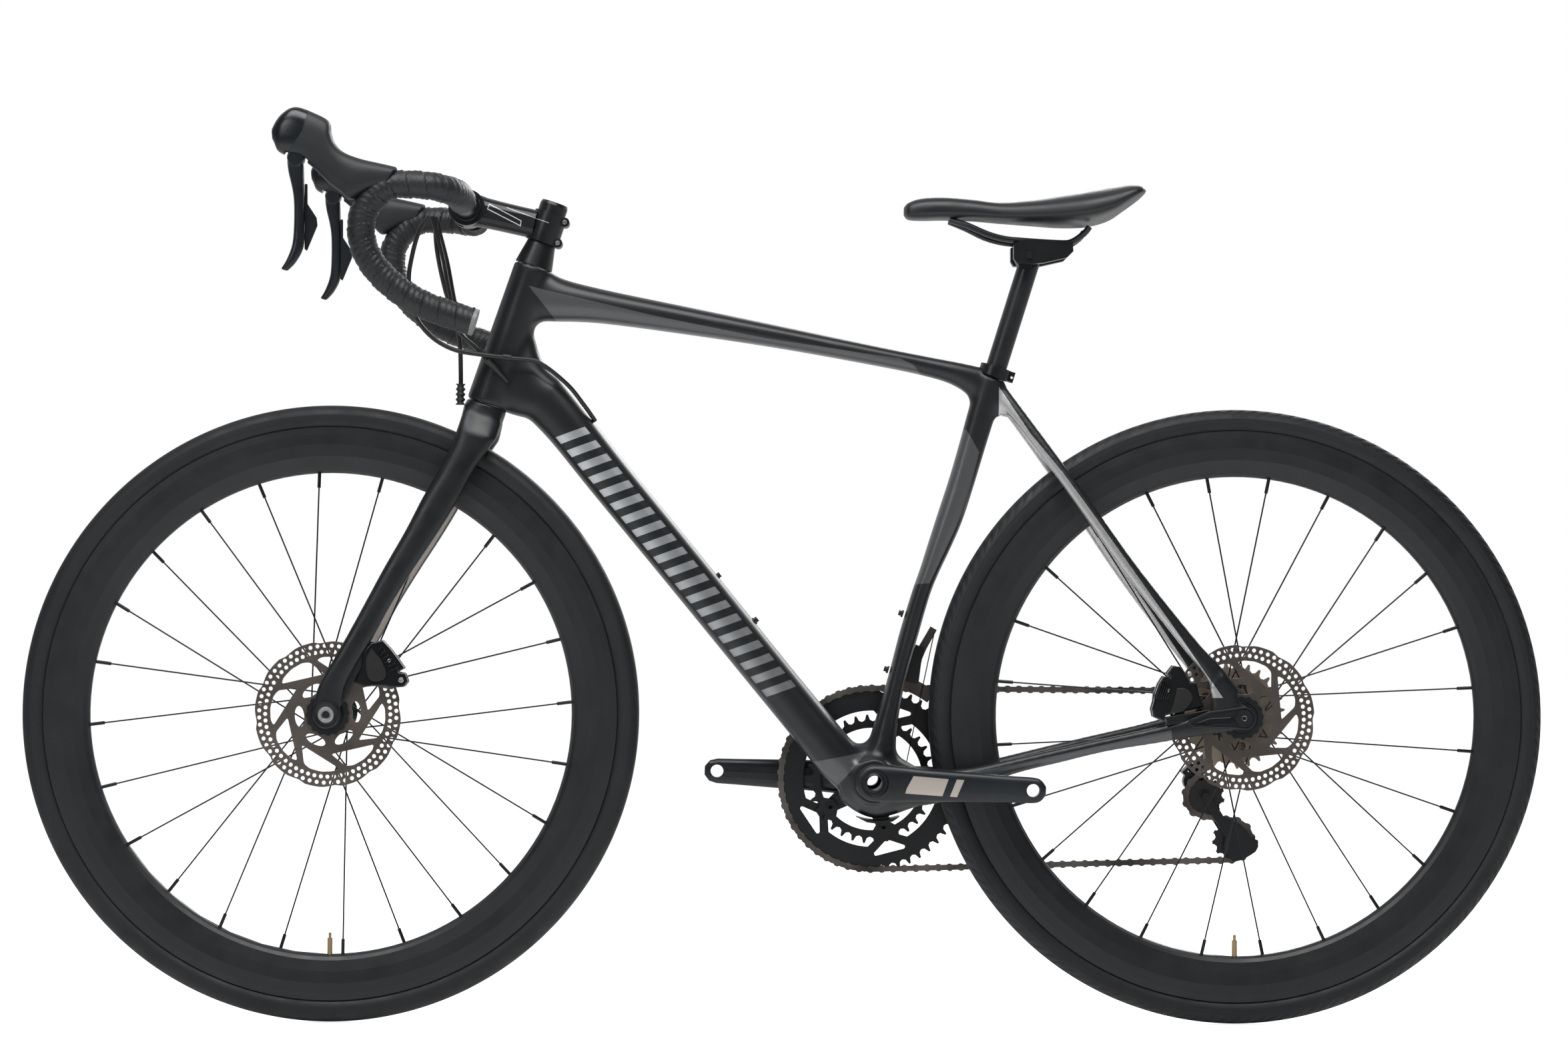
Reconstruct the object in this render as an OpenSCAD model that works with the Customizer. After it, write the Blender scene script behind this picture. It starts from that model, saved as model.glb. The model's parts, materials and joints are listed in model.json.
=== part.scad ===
// Road bicycle with disc brakes, drawn at rest in millimetres.
// The front wheel is at -X, the rear wheel at +X, the drive side at +Y and the ground at Z = 0.

/* [Wheels] */
// distance between the two axles
wheelbase = 1000; // [990:1:1010]
// radius over the tyre
tyre_r = 340;
// half width of the tyre
tyre_half = 14.5; // [13:0.5:15]
// inner radius of the deep rim
rim_in_r = 265.2;
// spokes in each wheel
spokes = 24;

/* [Drivetrain] */
// bottom bracket centre, forward to back
bb_x = 98.5;
// bottom bracket centre above the ground
bb_z = 267.5;
// crank length from spindle to pedal hole
crank_len = 172.5; // [165:2.5:175]
// teeth on the large chainring
ring_teeth = 50;
// teeth on the small chainring
small_teeth = 34;
// teeth on the sprocket in use
cog_teeth = 13;
// teeth on each derailleur pulley
pulley_teeth = 11;
// links in the chain
chain_links = 112;
// chain pitch
pitch = 12.7;

/* [Brakes] */
// brake rotor radius
rotor_r = 80; // [70:1:80]
// front rotor plane
front_rotor_y = -39.5;
// rear rotor plane
rear_rotor_y = -55.5;

/* [Steering and seat] */
// steering axis from the ground plane
head_angle = 71.7;
// handlebar centre, forward to back
bar_x = -352.6;
// handlebar centre above the ground
bar_z = 898.6;
// half distance between the bar drops
bar_half = 199; // [190:1:210]
// handlebar radius under the tape
bar_r = 12;
// radius over the tape
tape_r = 15;
// seatpost radius
post_r = 11.6;

/* [Hidden] */
axle_z = tyre_r;
front_x = -wheelbase / 2;
rear_x = wheelbase / 2;
chain_y = 44.5;
bolt_r = 55;
bolt_angles = [for (a = [36.5, -36.5, 107, -107]) 177.63 + a];
cog_pitch = 3.74;
cog_y = 59;
guide = [474.5, 248];
cage_len = 57;
cage_angle = -58.39184;
tension = guide + cage_len * [cos(cage_angle), sin(cage_angle)];
hanger = [508, 312];
cage_pivot = [466, 268];
steer_r = 14.3;
lever_pivot = [-521, 932];
fd_pivot_z = 404;
fit = 0.05;
$fn = 48;

// ---------- helpers ----------

// superellipse ring: s = [x, y, z, tilt of the tall axis, half height, half width]
function ring(s, e, n) = [for (i = [0 : n - 1])
    let (c = cos(360 * i / n), d = sin(360 * i / n),
         a = s[4] * sign(c) * pow(abs(c), 2 / e),
         b = s[5] * sign(d) * pow(abs(d), 2 / e))
    [s[0] + a * cos(s[3]), s[1] + b, s[2] + a * sin(s[3])]];

// faces of a skin over m rings of n points, open at both ends
function skin(m, n, first, flip) = [for (j = [0 : m - 2]) for (i = [0 : n - 1])
    let (a = first + j * n + i, b = first + j * n + (i + 1) % n, c = b + n, d = a + n)
    each (flip ? [[a, d, b], [b, d, c]] : [[a, b, d], [b, c, d]])];

// solid through the stations, with its faces turned outwards whichever way the stations run
module loft(stations, e = 2.4, n = 20) {
    m = len(stations);
    travel = stations[1] - stations[0];
    flip = travel[0] * sin(stations[0][3]) < travel[2] * cos(stations[0][3]);
    first_cap = [for (i = [0 : n - 1]) flip ? i : n - 1 - i];
    last_cap = [for (i = [0 : n - 1]) (m - 1) * n + (flip ? n - 1 - i : i)];
    polyhedron([for (s = stations) each ring(s, e, n)], concat([first_cap], skin(m, n, 0, flip), [last_cap]));
}

// loft whose stations are given by the two edge points seen from the side: [x1, z1, x2, z2, y, half width]
function edged(list) = [for (s = list)
    [(s[0] + s[2]) / 2, s[4], (s[1] + s[3]) / 2, atan2(s[1] - s[3], s[0] - s[2]),
     norm([s[0] - s[2], s[1] - s[3]]) / 2, s[5]]];

// smooth curve through the points p, k steps a span
function spline(p, k = 5) = concat([for (i = [0 : len(p) - 2]) for (j = [0 : k - 1])
    let (t = j / k, a = p[max(i - 1, 0)], b = p[i], c = p[i + 1], d = p[min(i + 2, len(p) - 1)])
    0.5 * (2 * b + (c - a) * t + (2 * a - 5 * b + 4 * c - d) * t * t + (3 * b - a - 3 * c + d) * t * t * t)],
    [p[len(p) - 1]]);

function unit(v) = v / norm(v);

// round section of radius r across the path q at point i
function disc(q, i, r, up, n) = let (
    t = unit(q[min(i + 1, len(q) - 1)] - q[max(i - 1, 0)]), u = unit(cross(up, t)), v = cross(u, t))
    [for (k = [0 : n - 1]) q[i] + r * (cos(360 * k / n) * u + sin(360 * k / n) * v)];

// round bar, or a tube when inner > 0, along the path q
module sweep(q, r, inner = 0, up = [0, 1, 0], n = 8) {
    m = len(q);
    outer_pts = [for (i = [0 : m - 1]) each disc(q, i, r, up, n)];
    inner_pts = inner > 0 ? [for (i = [0 : m - 1]) each disc(q, i, inner, up, n)] : [];
    o = m * n;
    ends = inner > 0
        ? [for (i = [0 : n - 1]) let (j = (i + 1) % n) each
            [[j, i, i + o], [j, i + o, j + o],
             [o - n + i, o - n + j, 2 * o - n + j], [o - n + i, 2 * o - n + j, 2 * o - n + i]]]
        : [[for (i = [n - 1 : -1 : 0]) i], [for (i = [0 : n - 1]) o - n + i]];
    polyhedron(concat(outer_pts, inner_pts),
        concat(skin(m, n, 0, false), inner > 0 ? skin(m, n, o, true) : [], ends));
}

// flat shape in the side plane, filling y0 to y1
module side(y0, y1) translate([0, y1, 0]) rotate([90, 0, 0]) linear_extrude(y1 - y0) children();

// turned part about the Y axis; profile points are [radius, y]
module turned(x, z, profile) translate([x, 0, z]) rotate([-90, 0, 0]) rotate_extrude($fn = 96) polygon(profile);

// round bar between two points
module rod(a, b, r) {
    d = b - a;
    translate(a) rotate([0, acos(d[2] / norm(d)), atan2(d[1], d[0])]) cylinder(h = norm(d), r = r, $fn = 16);
}

// pin along Y
module pin(x, z, y0, y1, r) translate([x, y1, z]) rotate([90, 0, 0]) cylinder(h = y1 - y0, r = r);

// flat bar with round ends in the side plane; its straight sides sit a hair inside the ends
module slot2d(a, b, r) {
    d = b - a;
    w = r - 0.03;
    translate(a) circle(r);
    translate(b) circle(r);
    translate(a) rotate(atan2(d[1], d[0])) translate([0, -w]) square([norm(d), 2 * w]);
}

module both() {
    children();
    mirror([0, 1, 0]) children();
}

// frame on the steering axis, t above its foot
module on_steer(t) translate([-448.7 + cos(head_angle) * t, 0, 323 + sin(head_angle) * t])
    rotate([0, 90 - head_angle, 0]) children();

// frame on the seatpost axis, s above the collar
module on_post(s) translate([234 + 0.2974 * s, 0, 725.6 + 0.9548 * s]) rotate([0, 17.3, 0]) children();

// ---------- main frame ----------

module main_tubes() {
    loft(edged([[-281, 767, -338, 700, 0, 16], [-276.5, 752, -330, 684, 0, 18], [-272, 737, -318, 677, 0, 20],
        [-263.5, 722, -302, 671, 0, 22], [-249.3, 710.5, -283.7, 666.5, 0, 24]]));
    loft([[-266.5, 0, 688.5, 52, 27.9, 24], [-240, 0, 658.5, 44, 25.9, 25],
        [-193.5, 0, 600, 39.3, 24.9, 25], [-111, 0, 500, 39.3, 24.5, 25.5], [-13, 0, 380, 39.3, 23.9, 28],
        [36.6, 0, 320, 39.3, 24.2, 32], [62, 0, 289, 39, 25, 34], [84, 0, 268, 39, 22, 33]]);
    loft(edged([[-262, 832, -289, 776, 0, 17], [-246, 821.5, -262, 774.4, 0, 19], [-200, 809.7, -206, 772.6, 0, 20],
        [-100, 789.5, -104, 759.8, 0, 18.5], [0, 769.4, -4, 745.2, 0, 17], [100, 749.2, 96, 727.7, 0, 15.5],
        [158, 738, 154, 716, 0, 14.5], [196, 731, 188, 705, 0, 14], [232, 723, 214, 686, 0, 12]]));
    loft([[86, 0, 276, -17, 20, 31], [106, 0, 300, -17, 17, 28], [113, 0, 330, -17.3, 12.8, 24],
        [124.6, 0, 380, -17.3, 9.8, 20],
        [138, 0, 430, -17.3, 10.3, 18], [151.3, 0, 475, -17.3, 10, 17], [160.5, 0, 500, -17.3, 10.6, 16.5],
        [171, 0, 527, -17.3, 12.6, 16.5], [183.3, 0, 560, -17.3, 14.3, 16.5], [196.2, 0, 600, -17.3, 14.3, 16],
        [207.9, 0, 640, -17.3, 14.6, 15.5], [219.5, 0, 680, -17.3, 15.3, 15.5], [230.4, 0, 714, -17.3, 14.8, 15.5]]);
    // bulge of the bottom bracket between the tubes
    loft(edged([[66, 300, 62, 246, 0, 31], [86, 306, 80, 233, 0, 33], [104, 306, 100, 226, 0, 34],
        [122, 297, 120, 229.5, 0, 33], [138, 288, 140, 236.5, 0, 31], [150, 281, 158, 243, 0, 29]]));
    on_steer(378) cylinder(h = 161.5, r1 = 23.4, r2 = 21.4, $fn = 64);
}

module stays() both() {
    loft([[236, -7, 701, 36, 9, 6], [256, -15, 674, 36.4, 8.4, 6.5], [293.7, -29, 622.9, 36.4, 7.7, 6],
        [340, -42, 557, 36.4, 7.9, 6], [383.5, -53, 495.2, 36.4, 8.1, 6], [443, -65, 418.8, 36.4, 8.8, 5.5],
        [466.6, -69.5, 391.3, 34, 10.4, 5], [484, -73, 364, 20, 14, 4]], n = 16);
    loft(edged([[136, 284, 134, 240, -22, 8], [165, 282.5, 166, 243, -27, 8], [200, 283, 204, 258, -31, 7.6],
        [250, 294, 253, 277, -40, 7], [300, 306, 303, 290, -47, 6.6], [350, 317.5, 353, 302.5, -54, 6],
        [400, 329, 403, 311, -60, 5.6], [440, 340, 443, 318, -66, 5.2], [470, 349, 474, 321, -71.5, 4.2],
        [496, 356, 498, 324, -74.2, 3.6]]), n = 16);
    pin(rear_x, axle_z, -78, -71, 16.5);
}

// places of the four bottle bolts, with Z outward from the tube
module bottle_bosses() for (b = [[-75.6, 491.6, 39.3], [-34, 442.6, 39.3], [132, 452, 162.7], [116, 390, 162.7]])
    translate([b[0], 0, b[1]]) rotate([0, 90 - b[2], 0]) children();

module frame_shell() color("#2b2d30") difference() {
    union() {
        main_tubes();
        stays();
        pin(bb_x, bb_z, -36.5, 36.5, 25);
    }
    on_steer(360) cylinder(h = 200, r = 16.5);
    on_steer(377) cylinder(h = 9, r = 20.5);
    on_steer(340) cylinder(h = 37.9, r = 34);
    on_steer(532) cylinder(h = 20, r = 18.6);
    on_steer(539.6) cylinder(h = 40, r = 30);
    pin(bb_x, bb_z, -40, 40, 19);
    pin(bb_x, bb_z, -40, -28.5, 21);
    pin(bb_x, bb_z, 28.5, 40, 21);
    pin(rear_x, axle_z, -90, 90, 6.05);
    pin(rear_x, axle_z, -71, 71, 19);
    bottle_bosses() cylinder(h = 12, r = 4.3);
    // seat for the collar
    on_post(-11.1) difference() {
        cylinder(h = 40, r = 24);
        translate([0, 0, -1]) cylinder(h = 11, r = 15.55);
    }
    on_post(-172) cylinder(h = 190, r = post_r + fit);
}

module frame_bearings() color("#8a8d90") {
    both() turned(bb_x, bb_z, [[15.05, -36], [20.97, -36], [20.97, -29], [15.05, -29]]);
    on_steer(378) difference() {
        cylinder(h = 7.5, r = 20.48);
        translate([0, 0, -1]) cylinder(h = 10, r = steer_r + fit);
    }
    on_steer(532) difference() {
        cylinder(h = 7.4, r = 18.58);
        translate([0, 0, -1]) cylinder(h = 10, r = steer_r + fit);
    }
}

module seat_collar() color("#1c1d1f") difference() {
    union() {
        on_post(-11) cylinder(h = 11.5, r = 17.6);
        on_post(-11) translate([10, -6, 0]) cube([12, 12, 11.5]);
    }
    on_post(-15) cylinder(h = 20, r = 15.62);
    on_post(-12) translate([14, -0.8, -2]) cube([14, 1.6, 18]);
    on_post(-5.5) rotate([90, 0, 0]) translate([19.6, 0, -10]) cylinder(h = 20, r = 1.6);
}

module rear_axle() color("#55585c") difference() {
    union() {
        pin(rear_x, axle_z, -79, 77, 6);
        pin(rear_x, axle_z, -80.5, -78.05, 9.4);
    }
    pin(rear_x, axle_z, -81, -70, 3);
}

module hanger_plate() color("#303236") difference() {
    side(67.6, 70.9) slot2d([rear_x + 1, axle_z - 2], hanger, 9.5);
    pin(rear_x, axle_z, 60, 80, 6.05);
    pin(hanger[0], hanger[1], 60, 80, 4.9);
}

// ---------- brakes ----------

front_cal = [[-466, 372], [-449, 422], [-440, 420], [-427, 411], [-418, 400], [-412, 386], [-408, 373],
    [-412, 366], [-421, 367], [-427, 360], [-441, 362], [-450, 366]];
rear_cal = [[402, 342], [401, 358], [412, 385], [419, 390], [424, 399], [432, 399], [439, 391],
    [446, 384], [453, 378], [459, 356], [440, 348]];

module caliper(shape, yr, wx, cover, fins) {
    difference() {
        union() {
            side(yr - 14, yr + 13) polygon(shape);
            side(yr - 16.5, yr - 14) polygon(cover);
            for (f = fins) side(yr - 15, yr + 14.2) slot2d(f[0], f[1], 1.1);
        }
        pin(wx, axle_z, yr - 3.2, yr + 3.2, rotor_r + 1.8);
        for (f = fins) side(yr - 20, yr - 11.5) translate(2.9 * [-unit(f[1] - f[0])[1], unit(f[1] - f[0])[0]])
            slot2d(f[0], f[1], 1.1);
    }
}

module pads(shape, yr, wx) intersection() {
    union() for (s = [-1, 1]) translate([0, s * 1.9, 0]) pin(wx, axle_z, yr - 0.85, yr + 0.85, rotor_r);
    side(yr - 10, yr + 10) offset(delta = -7) polygon(shape);
}

module front_caliper() color("#1a1b1d") {
    caliper(front_cal, front_rotor_y, front_x,
        [[-452, 409], [-455, 402], [-456, 391], [-454, 380], [-449, 373.5], [-443, 372], [-437, 375],
         [-434.5, 382], [-436, 390], [-443, 400]],
        [[[-443, 413.5], [-432, 412]], [[-440, 408], [-425, 407]], [[-436, 402.5], [-420, 401]],
         [[-432, 397], [-418, 395.5]], [[-429, 391.5], [-415, 390]]]);
    side(-53, -45) polygon([[-455, 414], [-450, 419], [-463, 380.7], [-475, 366], [-470, 384], [-464, 400]]);
}

module rear_caliper() color("#1a1b1d")
    caliper(rear_cal, rear_rotor_y, rear_x,
        [[425, 351], [422.5, 358], [427, 373], [432, 378.5], [439, 379.5], [444, 374], [444.5, 366], [440, 357],
         [436, 350.5]],
        [[[405, 362], [412, 376]], [[409, 361], [417, 378]], [[413.5, 362], [420, 376]], [[403, 350], [418, 353]]]);

module front_pads() color("#8d7f6c") pads(front_cal, front_rotor_y, front_x);

module rear_pads() color("#8d7f6c") pads(rear_cal, rear_rotor_y, rear_x);

// ---------- frame fittings ----------

module capped_bolt() difference() {
    union() {
        translate([0, 0, 0.3]) cylinder(h = 2, r = 4.2);
        translate([0, 0, 2.2]) cylinder(h = 3.4, r = 3);
    }
    translate([0, 0, 4]) cylinder(h = 3, r = 1.6, $fn = 6);
}

module frame_fittings() color("#5d6064") {
    bottle_bosses() capped_bolt();
    side(-17, 17) polygon([[80, 228], [92, 222], [104, 220.5], [120, 223], [128, 228.5], [112, 224.6], [100, 223.8],
        [90, 225.5]]);
    fd_mount();
}

// ---------- wheels ----------

module tyre(x) color("#202022") turned(x, axle_z, concat(
    [for (a = [-35 : 10 : 215]) [tyre_r - tyre_half + tyre_half * sin(a), tyre_half * cos(a)]],
    [[tyre_r - 23.2, -8.95], [tyre_r - 33, -8.95], [tyre_r - 33, -6], [tyre_r - 22, -6.5], [tyre_r - 20.5, -9.5]],
    [for (a = [205 : -10 : -25]) [tyre_r - tyre_half + 12.3 * sin(a), 12.3 * cos(a)]],
    [[tyre_r - 20.5, 9.5], [tyre_r - 22, 6.5], [tyre_r - 33, 6], [tyre_r - 33, 8.95], [tyre_r - 23.2, 8.95]]));

function spoke_ends(i, x, phase, flange, hub_r) = let (
    a = phase + 360 * i / spokes, lead = [1, -1, -1, 1][i % 4], h = a + 60 * lead)
    [[x + hub_r * cos(h), flange[i % 2] + 2 * lead, axle_z + hub_r * sin(h)],
     [x + (rim_in_r + 8) * cos(a), flange[i % 2] * 0.06, axle_z + (rim_in_r + 8) * sin(a)]];

module rim(x, phase, flange) color("#3b3c3f") difference() {
    turned(x, axle_z, [[rim_in_r, 0], [rim_in_r + 0.6, 3], [rim_in_r + 3, 6.5], [272, 9.2], [284, 12.4], [297, 13.6],
        [308, 13.2], [315.5, 12.4], [316.3, 11], [315.5, 9.3], [306, 9.3], [304.5, 5], [304.5, -5], [306, -9.3],
        [315.5, -9.3], [316.3, -11], [315.5, -12.4], [308, -13.2], [297, -13.6], [284, -12.4], [272, -9.2],
        [rim_in_r + 3, -6.5], [rim_in_r + 0.6, -3]]);
    turned(x, axle_z, [[rim_in_r + 4, 3.6], [284, 10.4], [297, 11.4], [303, 8], [303, -8], [297, -11.4], [284, -10.4],
        [rim_in_r + 4, -3.6]]);
    for (i = [0 : spokes - 1]) let (e = spoke_ends(i, x, phase, flange, 22))
        rod(e[0] + 0.9 * (e[1] - e[0]), e[1], 2.1);
    translate([x, 0, axle_z - 320]) cylinder(h = 60, r = 3.1);
}

module wheel_spokes(x, phase, flange) color("#26272a")
    for (i = [0 : spokes - 1]) let (e = spoke_ends(i, x, phase, flange, 22), d = unit(e[1] - e[0])) union() {
        rod(e[0], e[1] - 2 * d, 0.85);
        rod(e[1] - 24 * d, e[1], 1.9);
    }

module hub_cuts(x, phase, flange) for (i = [0 : spokes - 1]) let (e = spoke_ends(i, x, phase, flange, 22))
    rod(e[0] - 0.02 * (e[1] - e[0]), e[0] + 0.06 * (e[1] - e[0]), 1.05);

module front_hub() color("#242528") difference() {
    turned(front_x, axle_z, [[9.6, -48.4], [12, -48.4], [12, -44.5], [16.8, -44.5], [16.8, -30], [19, -28],
        [25.5, -26.5], [25.5, -22], [14, -17], [12.5, 0], [14, 28], [25.5, 33], [25.5, 37.5], [17, 39.5], [13, 46],
        [9.6, 46]]);
    pin(front_x, axle_z, -60, -38, 13.02);
    pin(front_x, axle_z, 36, 60, 13.02);
    hub_cuts(front_x, 93, [-24, 35]);
}

module front_bearings() color("#8a8d90") {
    turned(front_x, axle_z, [[6.05, -49.9], [9.5, -49.9], [9.5, -45], [13, -45], [13, -38.1], [6.05, -38.1]]);
    turned(front_x, axle_z, [[6.05, 36.1], [12.95, 36.1], [12.95, 43], [9.5, 43], [9.5, 49.9], [6.05, 49.9]]);
}

module rear_hub() color("#242528") difference() {
    turned(rear_x, axle_z, [[9.6, -66], [12, -66], [12, -60.5], [16.8, -60.5], [16.8, -40], [19, -36], [25.5, -34.5],
        [25.5, -30], [15, -24], [14, 0], [18, 14], [27.5, 17], [27.5, 21.5], [21, 23.5], [21, 26], [9.6, 26]]);
    pin(rear_x, axle_z, -80, -50, 13.02);
    pin(rear_x, axle_z, 14, 60, 15.02);
    hub_cuts(rear_x, 81.9, [-32, 19]);
}

module rear_bearings() color("#8a8d90") {
    turned(rear_x, axle_z, [[6.05, -70.9], [9.5, -70.9], [9.5, -62], [13, -62], [13, -50.1], [6.05, -50.1]]);
    turned(rear_x, axle_z, [[6.05, 14.1], [15, 14.1], [15, 21], [6.05, 21]]);
}

module rotor_2d(phase) difference() {
    polygon([for (i = [0 : 143]) let (a = i * 2.5, w = a % 30) (rotor_r - 1.9 * max(0, min(1, (w - 14) / 9))
        * (w > 25 ? (30 - w) / 5 : 1)) * [cos(a + phase), sin(a + phase)]]);
    circle(17);
    for (k = [0 : 5]) rotate(phase + 60 * k) {
        translate([32.7, 0]) scale([0.42, 1]) circle(12.6);
        for (j = [0 : 9], q = [0 : 1]) rotate(6 * j + 3 * q) translate([68.4 + 6.6 * q, 0]) circle(2.2, $fn = 20);
    }
    difference() {
        circle(63);
        circle(42.5);
        for (k = [0 : 5]) rotate(phase - 17 + 60 * k) translate([38, -2]) square([6, 58]);
        for (k = [0 : 5]) rotate(phase + 37 + 60 * k) translate([40, -3]) square([30, 5]);
    }
}

module rotor(x, yr, phase) color("#7b736c") {
    translate([x, 0, axle_z]) side(yr - 0.9, yr + 0.9) rotor_2d(phase);
    difference() {
        union() {
            pin(x, axle_z, yr - 3.6, yr - 0.95, 21.5);
            translate([x, 0, axle_z]) side(yr - 4.2, yr - 0.95) difference() {
                circle(24);
                for (a = [0 : 22.5 : 359]) rotate(a) translate([25, 0]) circle(2.4, $fn = 16);
            }
        }
        pin(x, axle_z, yr - 10, yr, 17.05);
    }
}

module valve(x) color("#a98a55") {
    translate([x, 0, axle_z - 302]) cylinder(h = 54, r = 2.9);
    translate([x, 0, axle_z - 248]) cylinder(h = 6, r = 1.6);
}

// ---------- chainrings, sprockets and chain ----------

function pitch_r(n) = pitch / 2 / sin(180 / n);

// toothed disc with one tooth gap at angle a0
module sprocket_2d(n, a0) {
    r = pitch_r(n);
    step = 360 / n;
    polygon([for (i = [0 : n - 1]) let (g = a0 + i * step, s = 4.32) each
        [for (b = [50, 0, -50]) let (c = g + 180 + b)
            r * [cos(g), sin(g)] + s * [cos(c), sin(c)],
         each [for (f = [0.42, 0.58]) (r + 3.1) * [cos(g + f * step), sin(g + f * step)]]]]);
}

// the chain loop runs counter-clockwise in the side view: ring, tension pulley, guide pulley, cog
loop_c = [[bb_x, bb_z], tension, guide, [rear_x, axle_z]];
loop_n = [ring_teeth, pulley_teeth, pulley_teeth, cog_teeth];
loop_s = [1, 1, -1, 1];
loop_y = [chain_y, cog_y, cog_y, cog_y];
function run_dir(i) = let (j = (i + 1) % 4, d = loop_c[j] - loop_c[i])
    atan2(d[1], d[0]) + 90 - acos((loop_s[i] * pitch_r(loop_n[i]) - loop_s[j] * pitch_r(loop_n[j])) / norm(d));
function leave(i) = loop_c[i] + loop_s[i] * pitch_r(loop_n[i]) * [sin(run_dir(i)), -cos(run_dir(i))];
function meet(i) = let (j = (i + 1) % 4)
    loop_c[j] + loop_s[j] * pitch_r(loop_n[j]) * [sin(run_dir(i)), -cos(run_dir(i))];
function turn(i) = let (w = loop_s[i] * (run_dir(i) - run_dir((i + 3) % 4))) w - 360 * floor(w / 360);
arc_len = [for (i = [0 : 3]) turn(i) / 360 * loop_n[i] * pitch];
run_len = [for (i = [0 : 3]) norm(meet(i) - leave(i))];
start = [for (i = 0, s = 0; i < 4; s = s + arc_len[i] + run_len[i], i = i + 1) s];

// point at chain distance s
function on_arc(i, s) = let (a = run_dir((i + 3) % 4) - 90 * loop_s[i] + loop_s[i] * 360 * s / (loop_n[i] * pitch))
    [loop_c[i][0] + pitch_r(loop_n[i]) * cos(a), loop_y[i], loop_c[i][1] + pitch_r(loop_n[i]) * sin(a)];
function chain_at(s) = let (i = s < start[1] ? 0 : s < start[2] ? 1 : s < start[3] ? 2 : 3, u = s - start[i])
    u < arc_len[i] ? on_arc(i, u)
    : let (f = (u - arc_len[i]) / run_len[i], p = leave(i) + f * (meet(i) - leave(i)),
          g = min(max((f - 0.12) / 0.76, 0), 1))
      [p[0], loop_y[i] + g * (loop_y[(i + 1) % 4] - loop_y[i]), p[1]];
// angle of a tooth gap on wheel i, taken from the first roller on it
function gap_angle(i) = let (k = ceil(start[i] / pitch + 0.001), u = k * pitch - start[i])
    run_dir((i + 3) % 4) - 90 * loop_s[i] + loop_s[i] * 360 * u / (loop_n[i] * pitch);

module link_plate() {
    for (x = [0, pitch]) translate([x, 0]) circle(4.2, $fn = 20);
    translate([0, -2.9]) square([pitch, 5.8]);
}

module link(a, b, inner) {
    d = b - a;
    translate(a) rotate([0, 0, atan2(d[1], d[0]) * (d[0] < 0 ? 0 : 1)
        + (d[0] < 0 ? atan2(-d[1], -d[0]) : 0)])
        rotate([0, -atan2(d[2], d[0]), 0]) difference() {
            union() {
                if (inner) {
                    side(-1.9, -1.2) link_plate();
                    side(1.2, 1.9) link_plate();
                    for (x = [0, pitch]) pin(x, 0, -1.3, 1.3, 3.85, $fn = 20);
                } else {
                    side(-2.9, -2.25) link_plate();
                    side(2.25, 2.9) link_plate();
                    for (x = [0, pitch]) pin(x, 0, -2.9, 2.9, 1.8, $fn = 16);
                }
            }
            if (inner) for (x = [0, pitch]) pin(x, 0, -4, 4, 2);
        }
}

module chain() color("#5b554e") for (k = [0 : chain_links - 1])
    link(chain_at(k * pitch), chain_at(((k + 1) % chain_links) * pitch), k % 2 == 0);

module cassette() color("#8f867a") for (k = [0 : 10]) {
    n = [28, 25, 23, 21, 19, 17, 15, 14, 13, 12, 11][k];
    y = cog_y + (k - 8) * cog_pitch;
    translate([rear_x, 0, axle_z]) side(y - 0.8, y + 0.8) difference() {
        sprocket_2d(n, n == cog_teeth ? gap_angle(3) : 7 * k);
        circle(17.6);
        if (n > 16) for (a = [0 : 36 : 359]) rotate(a + 5 * k) translate([(pitch_r(n) + 15) / 2, 0])
            circle(min((pitch_r(n) - 23) / 2.6, 4.6), $fn = 20);
    }
}

module freehub() color("#3a3b3d") difference() {
    union() {
        turned(rear_x, axle_z, [[6.1, 28], [17.5, 28], [17.5, 66.2], [6.1, 66.2]]);
        turned(rear_x, axle_z, [[6.1, 66.1], [17.4, 66.1], [17.4, 66.9], [16.4, 67.5], [6.1, 67.5]]);
        turned(rear_x, axle_z, [[6.1, 26.2], [19.5, 26.2], [19.5, 28.2], [6.1, 28.2]]);
    }
    pin(rear_x, axle_z, 24, 66, 9);
}

module ring_plate(n, y, a0, inner) translate([bb_x, 0, bb_z]) side(y - 0.9, y + 0.9) difference() {
    union() {
        difference() {
            sprocket_2d(n, a0);
            circle(inner);
        }
        for (a = bolt_angles) rotate(a) children(0);
    }
    for (a = bolt_angles) rotate(a) {
        translate([bolt_r, 0]) circle(5.05, $fn = 24);
        children(1);
    }
}

module chainrings() color("#1b1b1d") {
    ring_plate(ring_teeth, chain_y, gap_angle(0), 76) {
        polygon([[80, -28], [75, -27], [66, -11.5], [58, -8.5], [50, -7.5], [48, 0], [50, 7.5], [58, 8.5],
            [66, 11.5], [75, 27], [80, 28]]);
        // triangular window
        offset(r = 2.2) polygon([[82.5, -15.5], [82.5, 15.5], [74, 2.2], [74, -2.2]]);
    }
    ring_plate(small_teeth, chain_y - 7.2, 4, 57) {
        polygon([[60, -15], [57, -14], [51, -8], [48, -5], [48, 5], [51, 8], [57, 14], [60, 15]]);
        circle(20);
    }
}

module ring_bolts() color("#1f2022") for (a = bolt_angles)
    translate([bb_x + bolt_r * cos(a), 0, bb_z + bolt_r * sin(a)]) side(chain_y - 9.2, chain_y + 1.05) difference() {
        circle(5, $fn = 24);
        circle(2.8, $fn = 6);
    }

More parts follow.
